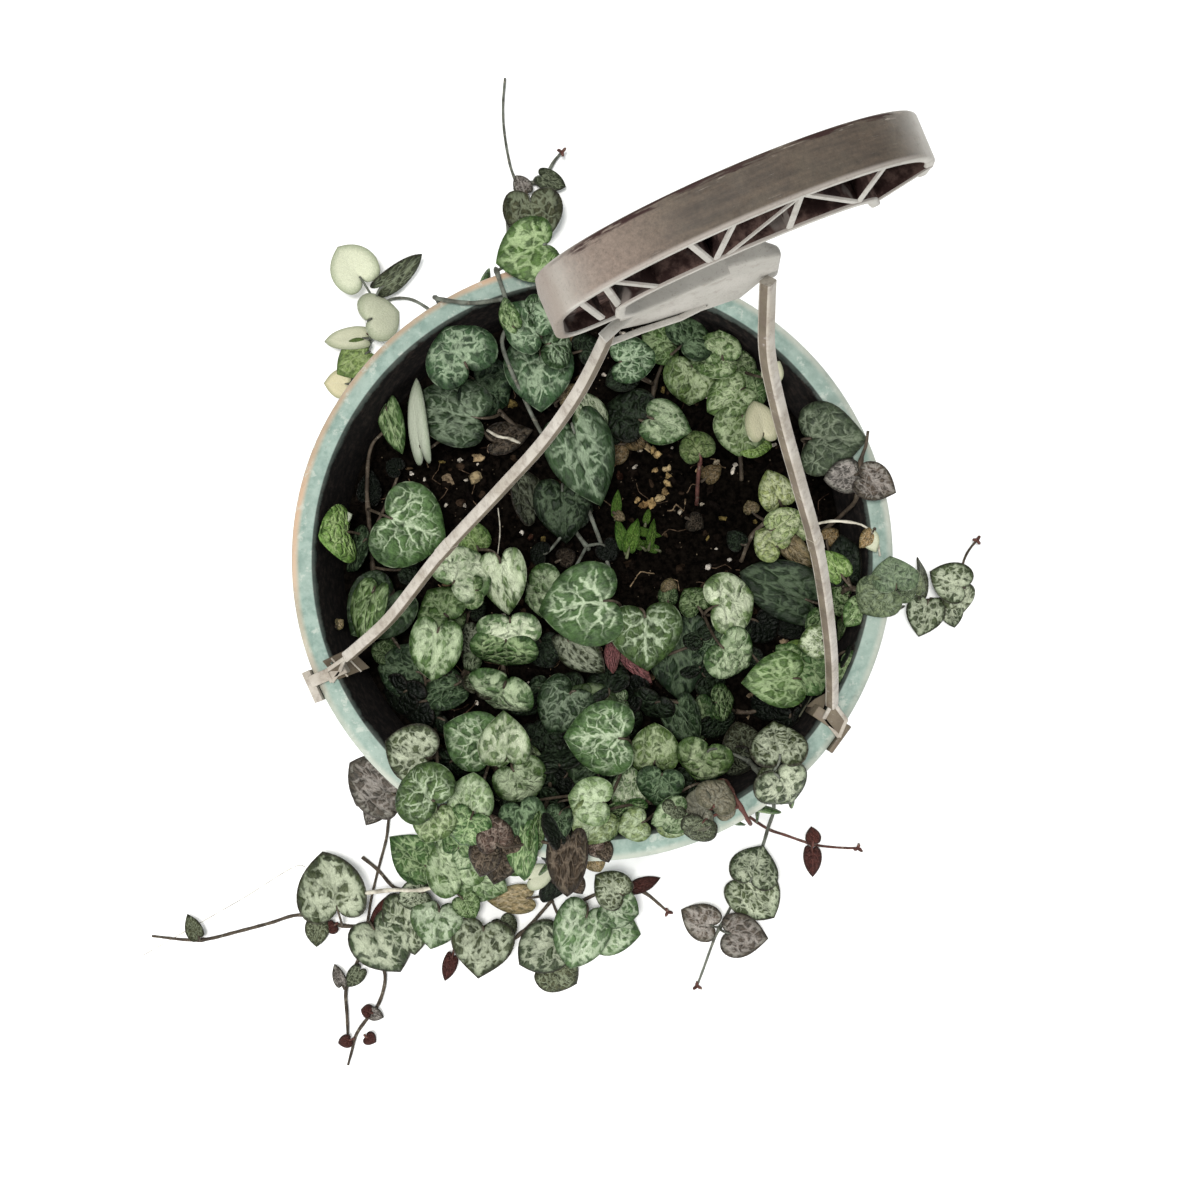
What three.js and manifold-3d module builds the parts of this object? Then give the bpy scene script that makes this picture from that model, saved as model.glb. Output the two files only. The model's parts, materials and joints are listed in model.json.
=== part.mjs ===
// Potted string of hearts in a plastic pot with its clip-on hanger. Millimetres, +Z up.
// The origin is the middle of the pot's foot on the floor, and +Y points to the back.
import * as THREE from "three";
import { mergeVertices } from "three/addons/utils/BufferGeometryUtils.js";
import Module from "manifold-3d";

const wasm = await Module();
wasm.setup();

// Driving dimensions
const POT_HEIGHT = 110;
const RIM_RADIUS = 75;
const LIP_WIDTH = 6;
const LIP_DROP = 9;
const WALL = 1.8;
const FOOT_RADIUS = 51;
const SOIL_TOP = 89;
const GAP = 0.3;
const STEM_RADIUS = 0.65;
const PETIOLE_HALF = 0.32;
const ROOT_DEPTH = 5;
const SIMPLIFY = 0.1;
const HUB_BOTTOM = 257;

// The photograph's view, straight down: the eye above the floor and the pixels per unit of slope
const EYE = new THREE.Vector3(1.94, -9.88, 550);
const PHOTO_MIDDLE = 600;
const PHOTO_FOCAL = 1772;

// Colours
const LEAF_GREEN = 0x4f7a4a;
const PLASTIC_TEAL = 0x9cc4b8;
const PLASTIC_BEIGE = 0xb9ada2;
const SOIL_BROWN = 0x1d1714;

// The point at height z that the photograph shows at pixel x, y
function seen(x, y, z) {
  const reach = (EYE.z - z) / PHOTO_FOCAL;
  return new THREE.Vector3(EYE.x + (x - PHOTO_MIDDLE) * reach, EYE.y + (PHOTO_MIDDLE - y) * reach, z);
}

// A point at radius and height on the side of the pot that faces the given azimuth
function around(azimuth, radius, z) {
  const turn = THREE.MathUtils.degToRad(azimuth);
  return new THREE.Vector3(radius * Math.cos(turn), radius * Math.sin(turn), z);
}

function solid(geometry) {
  const bare = new THREE.BufferGeometry();
  const flat = geometry.index ? geometry.toNonIndexed() : geometry;
  bare.setAttribute("position", flat.getAttribute("position"));
  const merged = mergeVertices(bare, 1e-4);
  const mesh = new wasm.Mesh({
    numProp: 3,
    vertProperties: new Float32Array(merged.attributes.position.array),
    triVerts: new Uint32Array(merged.index.array),
  });
  return new wasm.Manifold(mesh);
}

function join(solids) {
  return solids.reduce((whole, piece) => whole.add(piece));
}

function node(name, made, colour, roughness) {
  const mesh = made.getMesh();
  const geometry = new THREE.BufferGeometry();
  geometry.setAttribute("position", new THREE.BufferAttribute(new Float32Array(mesh.vertProperties), 3));
  geometry.setIndex(new THREE.BufferAttribute(new Uint32Array(mesh.triVerts), 1));
  geometry.computeVertexNormals();
  const material = new THREE.MeshStandardMaterial({ color: colour, roughness, metalness: 0 });
  const part = new THREE.Mesh(geometry, material);
  part.name = name;
  return part;
}

function polygon(sides, radius, start = 0) {
  const points = [];
  for (let i = 0; i < sides; i += 1) {
    const turn = start + (2 * Math.PI * i) / sides;
    points.push(new THREE.Vector2(radius * Math.cos(turn), radius * Math.sin(turn)));
  }
  return new THREE.Shape(points);
}

// A rod of the given cross-section along a curve
function rod(shape, curve, steps) {
  return solid(new THREE.ExtrudeGeometry(shape, { extrudePath: curve, steps, bevelEnabled: false }));
}

// Pot: tapered wall, rolled lip with a skirt, and a flat foot with drain holes
const POT_SIDES = 44;
const INNER_TOP = RIM_RADIUS - LIP_WIDTH;
const FLOOR_THICK = 3;
const DRAIN_RADIUS = 4;
const DRAIN_RING = 30;
const DRAINS = 4;

function innerRadius(z) {
  const slope = (INNER_TOP - (FOOT_RADIUS - WALL)) / (POT_HEIGHT - FLOOR_THICK);
  return INNER_TOP - (POT_HEIGHT - z) * slope;
}

function pot() {
  const skirt = POT_HEIGHT - LIP_DROP;
  const profile = [
    [0, 0],
    [FOOT_RADIUS - 1, 0],
    [FOOT_RADIUS, 1.2],
    [innerRadius(skirt + 3) + WALL, skirt + 3],
    [RIM_RADIUS - WALL, skirt + 3],
    [RIM_RADIUS - WALL, skirt],
    [RIM_RADIUS - 0.4, skirt],
    [RIM_RADIUS, skirt + 0.8],
    [RIM_RADIUS, POT_HEIGHT - 2.2],
    [RIM_RADIUS - 1.8, POT_HEIGHT - 0.4],
    [RIM_RADIUS - 3.2, POT_HEIGHT],
    [INNER_TOP + 0.8, POT_HEIGHT],
    [INNER_TOP, POT_HEIGHT - 0.8],
    [innerRadius(FLOOR_THICK), FLOOR_THICK],
    [0, FLOOR_THICK],
  ].map(([radius, z]) => new THREE.Vector2(radius, z));
  let made = solid(new THREE.LatheGeometry(profile, POT_SIDES).rotateX(Math.PI / 2));
  for (let i = 0; i < DRAINS; i += 1) {
    const place = around(45 + (360 / DRAINS) * i, DRAIN_RING, 1);
    const drill = new THREE.CylinderGeometry(DRAIN_RADIUS, DRAIN_RADIUS, 8, 10).rotateX(Math.PI / 2);
    made = made.subtract(solid(drill.translate(place.x, place.y, place.z)));
  }
  return made;
}

// Hanger: the hook's own plane, across to its right end, up, and out to the front
const HUB_TOP = HUB_BOTTOM + 16;
const ACROSS = new THREE.Vector3(0.92, 0.39, 0).normalize();
const FRONT = new THREE.Vector3(ACROSS.y, -ACROSS.x, 0);
const HOOK_PLACE = new THREE.Vector3(14.5, 42.8, HUB_TOP);
const FLANGE_WIDTH = 7.6;
const FLANGE_THICK = 1.6;
const WEB_THICK = 1.8;
const HOOK_STATIONS = 21;
const RIB_EVERY = 3;

// The hook's edges as seen from the front, from the hub round to the tip
function outerEdge() {
  const edge = new THREE.Path();
  edge.moveTo(6, -3);
  edge.lineTo(-16, -3);
  edge.quadraticCurveTo(-22.6, -3, -22.6, 5);
  edge.lineTo(-22.6, 15);
  edge.absellipse(7.9, 15, 30.5, 23.5, Math.PI, 0, true);
  edge.lineTo(38.4, 10);
  return edge.getSpacedPoints(HOOK_STATIONS);
}

function innerEdge() {
  const edge = new THREE.Path();
  edge.moveTo(6, 4);
  edge.lineTo(-7, 4);
  edge.quadraticCurveTo(-11.6, 4, -11.6, 9);
  edge.lineTo(-11.6, 14);
  edge.absellipse(7.9, 14, 19.5, 8.5, Math.PI, 0, true);
  edge.lineTo(28.5, 10);
  return edge.getSpacedPoints(HOOK_STATIONS);
}

// A flat outline in the hook's plane, thickened evenly to both sides
function hookPlate(points, thick) {
  const made = new THREE.ExtrudeGeometry(new THREE.Shape(points), { depth: thick, bevelEnabled: false });
  made.translate(0, 0, -thick / 2);
  const turn = new THREE.Matrix4().makeBasis(ACROSS, new THREE.Vector3(0, 0, 1), FRONT);
  made.applyMatrix4(turn.setPosition(HOOK_PLACE));
  return solid(made);
}

function stepped(from, to, distance) {
  return from.clone().add(to.clone().sub(from).setLength(distance));
}

function bar(from, to, thick) {
  const side = to.clone().sub(from).normalize().rotateAround(new THREE.Vector2(), Math.PI / 2);
  side.multiplyScalar(thick / 2);
  return [from.clone().add(side), from.clone().sub(side), to.clone().sub(side), to.clone().add(side)];
}

function hook() {
  const outer = outerEdge();
  const inner = innerEdge();
  const outerBack = outer.map((point, i) => stepped(point, inner[i], FLANGE_THICK));
  const innerBack = inner.map((point, i) => stepped(point, outer[i], FLANGE_THICK));
  const plates = [
    hookPlate([...outer, ...inner.slice().reverse()], WEB_THICK),
    hookPlate([...outer, ...outerBack.reverse()], FLANGE_WIDTH),
    hookPlate([...innerBack, ...inner.slice().reverse()], FLANGE_WIDTH),
  ];
  const last = HOOK_STATIONS;
  plates.push(hookPlate(bar(outer[last - 1], inner[last - 1], FLANGE_THICK), FLANGE_WIDTH));
  for (let i = 2; i + RIB_EVERY < last; i += RIB_EVERY) {
    const rising = i % 2 === 0;
    const foot = stepped(rising ? inner[i] : outer[i], rising ? outer[i] : inner[i], 0.8);
    const next = i + RIB_EVERY;
    const head = stepped(rising ? outer[next] : inner[next], rising ? inner[next] : outer[next], 0.8);
    plates.push(hookPlate(bar(foot, head, 1.3), FLANGE_WIDTH - 1.2));
  }
  return join(plates);
}

// A block between two corner lists, one above the other
function block(bottom, top, zBottom, zTop) {
  const corners = [...bottom.map(([x, y]) => [x, y, zBottom]), ...top.map(([x, y]) => [x, y, zTop])];
  const n = bottom.length;
  const faces = [];
  for (let i = 0; i < n; i += 1) {
    const j = (i + 1) % n;
    faces.push([i, j, n + j], [i, n + j, n + i]);
    if (i > 0 && i < n - 1) faces.push([0, j, i], [n, n + i, n + j]);
  }
  const geometry = new THREE.BufferGeometry();
  geometry.setAttribute("position", new THREE.Float32BufferAttribute(corners.flat(), 3));
  geometry.setIndex(faces.flat());
  return solid(geometry);
}

const ARM_SIDE = 3;
const SOCKET_RADIUS = 3.4;
const ARM_STEPS = 14;

// Arms from their rim clips up into the hub: the left and right ones as the photograph shows them
const ARM_PATHS = {
  left: [
    seen(333, 665, 118),
    seen(360, 646, 131),
    seen(390, 618, 147),
    seen(440, 555, 174),
    seen(500, 490, 203),
    seen(545, 440, 223),
    seen(580, 390, 241),
    seen(604, 343, 256),
    seen(608, 333, 264),
  ],
  right: [
    seen(833, 706, 118),
    seen(834, 680, 132),
    seen(832, 640, 155),
    seen(820, 550, 195),
    seen(800, 480, 218),
    seen(780, 410, 236),
    seen(765, 350, 250),
    seen(762, 298, 264),
  ],
  back: [
    new THREE.Vector3(6.1, 70, 118),
    new THREE.Vector3(7, 71.5, 135),
    new THREE.Vector3(8.5, 70.5, 165),
    new THREE.Vector3(10.5, 66, 200),
    new THREE.Vector3(12.4, 57.5, 238),
    new THREE.Vector3(13, 50.5, 264),
  ],
};
const CLIP_AZIMUTHS = { left: 202, right: 328, back: 85 };

function square(side) {
  return polygon(4, side / Math.SQRT2, Math.PI / 4);
}

function hub() {
  const foot = [[0.5, 33], [25.5, 38], [31.5, 43.5], [13, 53]];
  const head = [[4, 35.2], [27, 44.2], [30.5, 46], [13.5, 51]];
  let made = block(foot, head, HUB_BOTTOM, HUB_TOP);
  for (const path of Object.values(ARM_PATHS)) {
    const end = path[path.length - 1];
    const boss = new THREE.CylinderGeometry(SOCKET_RADIUS, SOCKET_RADIUS, 11, 12).rotateX(Math.PI / 2);
    made = made.add(solid(boss.translate(end.x, end.y, HUB_BOTTOM + 5)));
  }
  made = made.add(hook());
  for (const path of Object.values(ARM_PATHS)) {
    made = made.subtract(rod(square(ARM_SIDE + 2 * GAP), armCurve(path, GAP), ARM_STEPS));
  }
  return made.asOriginal().simplify(SIMPLIFY / 4);
}

// The arm's middle line, with its top end a little further on for the hub's socket
function armCurve(path, extra) {
  const last = path[path.length - 1];
  const onward = last.clone().sub(path[path.length - 2]).setLength(extra);
  return new THREE.CatmullRomCurve3([...path.slice(0, -1), last.clone().add(onward)]);
}

// Rim clip: a bridge over the lip with a leg inside and a barbed leg outside
const CLIP_WIDTH = 9;
const CLIP_THICK = 1.8;

function clip(azimuth) {
  const top = POT_HEIGHT + GAP;
  const skirt = POT_HEIGHT - LIP_DROP - GAP;
  const outside = RIM_RADIUS + GAP;
  const inside = innerRadius(POT_HEIGHT - 9) - GAP;
  const profile = [
    [inside - CLIP_THICK, POT_HEIGHT - 9],
    [inside, POT_HEIGHT - 9],
    [INNER_TOP - 1.1, top],
    [outside, top],
    [outside, skirt],
    [outside - 1.2, skirt],
    [outside - 0.2, skirt - 3],
    [outside + CLIP_THICK, skirt - 1.5],
    [outside + CLIP_THICK, top + CLIP_THICK - 0.6],
    [outside + CLIP_THICK - 0.6, top + CLIP_THICK],
    [inside - CLIP_THICK - 1, top + CLIP_THICK],
  ].map(([radius, z]) => new THREE.Vector2(radius, z));
  const made = new THREE.ExtrudeGeometry(new THREE.Shape(profile), { depth: CLIP_WIDTH, bevelEnabled: false });
  made.translate(0, 0, -CLIP_WIDTH / 2);
  made.rotateX(Math.PI / 2);
  made.rotateZ(THREE.MathUtils.degToRad(azimuth));
  return solid(made);
}

// A wing plate that slopes from the clip into the pot
function wing(azimuth) {
  const outline = [[-5, 0], [5, 0], [3, 6.5], [-2, 7.5]];
  const plate = new THREE.Shape(outline.map(([x, y]) => new THREE.Vector2(x, y)));
  const made = new THREE.ExtrudeGeometry(plate, { depth: 1.2, bevelEnabled: false });
  made.rotateZ(Math.PI / 2);
  made.rotateY(-0.55);
  made.translate(INNER_TOP - 1.5, 0, POT_HEIGHT + 0.4);
  made.rotateZ(THREE.MathUtils.degToRad(azimuth));
  return solid(made);
}

function arm(side) {
  const path = ARM_PATHS[side];
  const azimuth = CLIP_AZIMUTHS[side];
  const apex = path[0];
  let made = rod(square(ARM_SIDE), new THREE.CatmullRomCurve3(path), ARM_STEPS);
  made = made.add(clip(azimuth)).add(wing(azimuth));
  for (const spread of [-3, 3]) {
    const foot = around(azimuth + spread, RIM_RADIUS - 3, POT_HEIGHT + 1);
    const beyond = apex.clone().add(apex.clone().sub(foot).setLength(1));
    made = made.add(rod(square(2.2), new THREE.LineCurve3(foot, beyond), 1));
  }
  return made;
}

// Soil: fills the pot, with an uneven top and a plain hole for each rooted stem
const SOIL_SIDES = 22;
const SOIL_RINGS = [16, 33, 50];
const HOLE_RADIUS = 1.25;

function soilHeight(x, y) {
  const broad = 0.6 * Math.sin(0.21 * x + 0.6) * Math.cos(0.17 * y);
  return SOIL_TOP + broad + 0.4 * Math.sin(0.43 * y + 0.31 * x);
}

function soil() {
  const low = FLOOR_THICK + GAP;
  const rings = [...SOIL_RINGS, innerRadius(SOIL_TOP) - GAP];
  const points = [[0, 0, soilHeight(0, 0)]];
  for (const radius of rings) {
    for (let i = 0; i < SOIL_SIDES; i += 1) {
      const { x, y } = around((360 / SOIL_SIDES) * i, radius, 0);
      points.push([x, y, radius > SOIL_RINGS[2] ? SOIL_TOP : soilHeight(x, y)]);
    }
  }
  for (let i = 0; i < SOIL_SIDES; i += 1) {
    points.push(around((360 / SOIL_SIDES) * i, innerRadius(low) - GAP, low).toArray());
  }
  points.push([0, 0, low]);
  const faces = [];
  for (let i = 0; i < SOIL_SIDES; i += 1) {
    const j = (i + 1) % SOIL_SIDES;
    faces.push([0, 1 + i, 1 + j]);
    for (let ring = 0; ring < rings.length; ring += 1) {
      const near = 1 + ring * SOIL_SIDES;
      const far = near + SOIL_SIDES;
      faces.push([near + i, far + i, far + j], [near + i, far + j, near + j]);
    }
    const last = 1 + rings.length * SOIL_SIDES;
    faces.push([last + i, points.length - 1, last + j]);
  }
  const geometry = new THREE.BufferGeometry();
  geometry.setAttribute("position", new THREE.Float32BufferAttribute(points.flat(), 3));
  geometry.setIndex(faces.flat());
  let made = solid(geometry);
  for (const vine of Object.values(VINES)) {
    const [x, y, z] = vine.stems[0].inside[0];
    const root = seen(x, y, z);
    const depth = ROOT_DEPTH + 6;
    const drill = new THREE.CylinderGeometry(HOLE_RADIUS, HOLE_RADIUS, depth, 6).rotateX(Math.PI / 2);
    made = made.subtract(solid(drill.translate(root.x, root.y, SOIL_TOP - ROOT_DEPTH - GAP + depth / 2)));
  }
  return made;
}

// How a stem lies over the rim and hangs down to the floor: radius and height
const DRAPE = [
  [64.5, 104],
  [68.1, 110.6],
  [71.6, 111.4],
  [75.6, 110.2],
  [77.2, 104],
  [77.8, 84],
  [78.2, 56],
  [78.8, 28],
  [80.5, 8],
  [86, 1.9],
];
const FLOOR_LIFT = 1.3;
const STEM_STEP = 8;
const RIM_STEP = 5;

function stemPoints(stem, rooted) {
  const points = (stem.inside ?? []).map(([x, y, z]) => seen(x, y, z));
  if (rooted) {
    const root = points.shift();
    const depths = [SOIL_TOP - ROOT_DEPTH, SOIL_TOP - 1.5, SOIL_TOP + 1.5];
    points.unshift(...depths.map((z) => root.clone().setZ(z)));
  }
  if (stem.drape) {
    points.push(...DRAPE.slice(stem.skip ?? 0).map(([radius, z]) => around(stem.drape, radius, z)));
  }
  points.push(...(stem.floor ?? []).map(([x, y, z]) => seen(x, y, z ?? FLOOR_LIFT)));
  return points;
}

// Half of a leaf's outline, from the notch to the tip: along its length and out to one side
const WIDE_HALF = [[-0.12, 0.22], [0.02, 0.46], [0.32, 0.48], [0.7, 0.25]];
const MEDIUM_HALF = [[-0.12, 0.26], [0.14, 0.5], [0.58, 0.34]];
const SMALL_HALF = [[-0.1, 0.34], [0.36, 0.48]];
const WIDE_FROM = 13;
const MEDIUM_FROM = 8;
const LEAF_WIDTH_SHARE = 1.18;
const LEAF_MIDDLE = 0.38;
const LEAF_NOTCH = 0.04;
const NECK = 0.42;
const LEAF_FOLD = 0.16;
const LEAF_DROOP = 0.1;
const EDGE_THICK = 0.6;
const MIDDLE_THICK = 0.9;
const GROUND_CLEAR = 0.5;

// A leaf's own frame: its notch, length, width and three directions
function leafPlace(notch, tip, width, roll, rising) {
  const flat = tip.clone().sub(notch);
  const length = Math.max(flat.length(), width / LEAF_WIDTH_SHARE);
  const drop = Math.sqrt(Math.max(0, length ** 2 - flat.lengthSq())) * (rising ? -1 : 1);
  const start = notch.clone().add(new THREE.Vector3(0, 0, drop / 2));
  const along = flat.clone().setZ(flat.z - drop).normalize();
  const side = new THREE.Vector3(0, 0, 1).cross(along).normalize();
  side.applyAxisAngle(along, THREE.MathUtils.degToRad(roll));
  const up = along.clone().cross(side);
  return { start, length, width, along, side, up };
}

function bladePoint(place, u, v, lift) {
  const fold = LEAF_FOLD * Math.abs(v) * place.width - LEAF_DROOP * u * u * place.length;
  return place.start
    .clone()
    .addScaledVector(place.along, u * place.length)
    .addScaledVector(place.side, v * place.width)
    .addScaledVector(place.up, fold + lift);
}

function leafOutline({ width }) {
  const neck = NECK / width;
  const half = width >= WIDE_FROM ? WIDE_HALF : width >= MEDIUM_FROM ? MEDIUM_HALF : SMALL_HALF;
  const mirrored = half.map(([u, v]) => [u, -v]).reverse();
  return [[LEAF_NOTCH, neck], ...half, [1, 0], ...mirrored, [LEAF_NOTCH, -neck]];
}

// Lifts a leaf that would dip into the soil or the floor
function clearOfGround(place) {
  const inPot = Math.hypot(place.start.x, place.start.y) < INNER_TOP;
  const ground = (inPot ? SOIL_TOP + 1 : 0) + GROUND_CLEAR + EDGE_THICK / 2;
  const lows = leafOutline(place).map(([u, v]) => bladePoint(place, u, v, 0).z);
  place.start.z += Math.max(0, ground - Math.min(...lows));
  return place;
}

// The joint of the stems that a leaf's stalk starts from: the nearest one not level with the blade
function stalkFoot(place, joints) {
  const far = (joint) => joint.distanceTo(place.start);
  const clear = joints.filter((joint) => {
    const offset = joint.clone().sub(place.start);
    return offset.dot(place.along) < 0 || offset.dot(place.up) < -1.5;
  });
  return (clear.length ? clear : joints).reduce((a, b) => (far(a) < far(b) ? a : b));
}

// The four corners of a stalk's cross-section where it runs in the given direction
function stalkRing(place, centre, direction) {
  const turn = new THREE.Quaternion().setFromUnitVectors(place.along.clone().negate(), direction);
  const side = place.side.clone().applyQuaternion(turn).multiplyScalar(PETIOLE_HALF);
  const up = place.up.clone().applyQuaternion(turn).multiplyScalar(PETIOLE_HALF);
  return [[1, 1], [-1, 1], [-1, -1], [1, -1]].map(([a, b]) =>
    centre.clone().addScaledVector(side, a).addScaledVector(up, b).toArray(),
  );
}

// A heart-shaped blade with its stalk, as one body
function leaf(place, joints) {
  const outline = leafOutline(place);
  const n = outline.length;
  const points = [];
  for (const lift of [EDGE_THICK / 2, -EDGE_THICK / 2]) {
    points.push(...outline.map(([u, v]) => bladePoint(place, u, v, lift).toArray()));
  }
  points.push(bladePoint(place, LEAF_MIDDLE, 0, MIDDLE_THICK / 2).toArray());
  points.push(bladePoint(place, LEAF_MIDDLE, 0, -MIDDLE_THICK / 2).toArray());
  const faces = [];
  for (let i = 0; i < n; i += 1) {
    const j = (i + 1) % n;
    faces.push([2 * n, j, i], [2 * n + 1, n + i, n + j]);
    if (j > 0) faces.push([i, j, n + j], [i, n + j, n + i]);
  }
  const foot = stalkFoot(place, joints);
  const behind = bladePoint(place, LEAF_NOTCH, 0, 0).addScaledVector(place.along, -0.2 * place.length);
  const onward = foot.clone().sub(behind).normalize();
  const bend = onward.clone().sub(place.along).normalize();
  const rings = [
    [0, n - 1, 2 * n - 1, n],
    [0, 1, 2, 3].map((k) => 2 * n + 2 + k),
    [0, 1, 2, 3].map((k) => 2 * n + 6 + k),
  ];
  points.push(...stalkRing(place, behind, bend), ...stalkRing(place, foot, onward));
  for (let ring = 0; ring < 2; ring += 1) {
    for (let k = 0; k < 4; k += 1) {
      const next = (k + 1) % 4;
      faces.push([rings[ring][next], rings[ring][k], rings[ring + 1][k]]);
      faces.push([rings[ring][next], rings[ring + 1][k], rings[ring + 1][next]]);
    }
  }
  const [a, b, c, d] = rings[2];
  faces.push([a, d, c], [a, c, b]);
  const geometry = new THREE.BufferGeometry();
  geometry.setAttribute("position", new THREE.Float32BufferAttribute(points.flat(), 3));
  geometry.setIndex(faces.flat());
  return solid(geometry);
}

// Two leaves hanging from a draped stem at the given height, one to each side
function drapeLeaves(azimuth, z, width) {
  return [-1, 1].map((way) => {
    const notch = around(azimuth + way * 2.2, 80.5, z + way * 1.5);
    const tip = around(azimuth + way * 7, 84.5, z - width * 0.62 + way * 1.5);
    return leafPlace(notch, tip, width, way * -12, false);
  });
}

function vine({ stems, leaves }) {
  const curves = stems.map((stem, i) => new THREE.CatmullRomCurve3(stemPoints(stem, i === 0)));
  const steps = curves.map((curve, i) => Math.ceil(curve.getLength() / (stems[i].drape ? RIM_STEP : STEM_STEP)));
  const joints = curves.flatMap((curve, i) => curve.getSpacedPoints(steps[i]).slice(1));
  const places = leaves.map(([x1, y1, x2, y2, width, z, roll = 0, rising = false]) =>
    clearOfGround(leafPlace(seen(x1, y1, z), seen(x2, y2, z), width, roll, rising)),
  );
  for (const stem of stems) {
    for (const z of stem.pairs ?? []) places.push(...drapeLeaves(stem.drape, z, 12));
  }
  const pieces = curves.map((curve, i) => rod(polygon(4, STEM_RADIUS), curve, steps[i]));
  for (const place of places) pieces.push(leaf(place, joints));
  return whole(whole(join(pieces)).asOriginal().simplify(SIMPLIFY));
}

// The one body of a vine, without the pinholes that its joins leave inside
function whole(made) {
  const bodies = made.decompose().filter((body) => Math.abs(body.volume()) > 0.5);
  if (bodies.length !== 1) throw new Error(`a vine falls into ${bodies.length} bodies`);
  return bodies[0];
}

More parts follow.
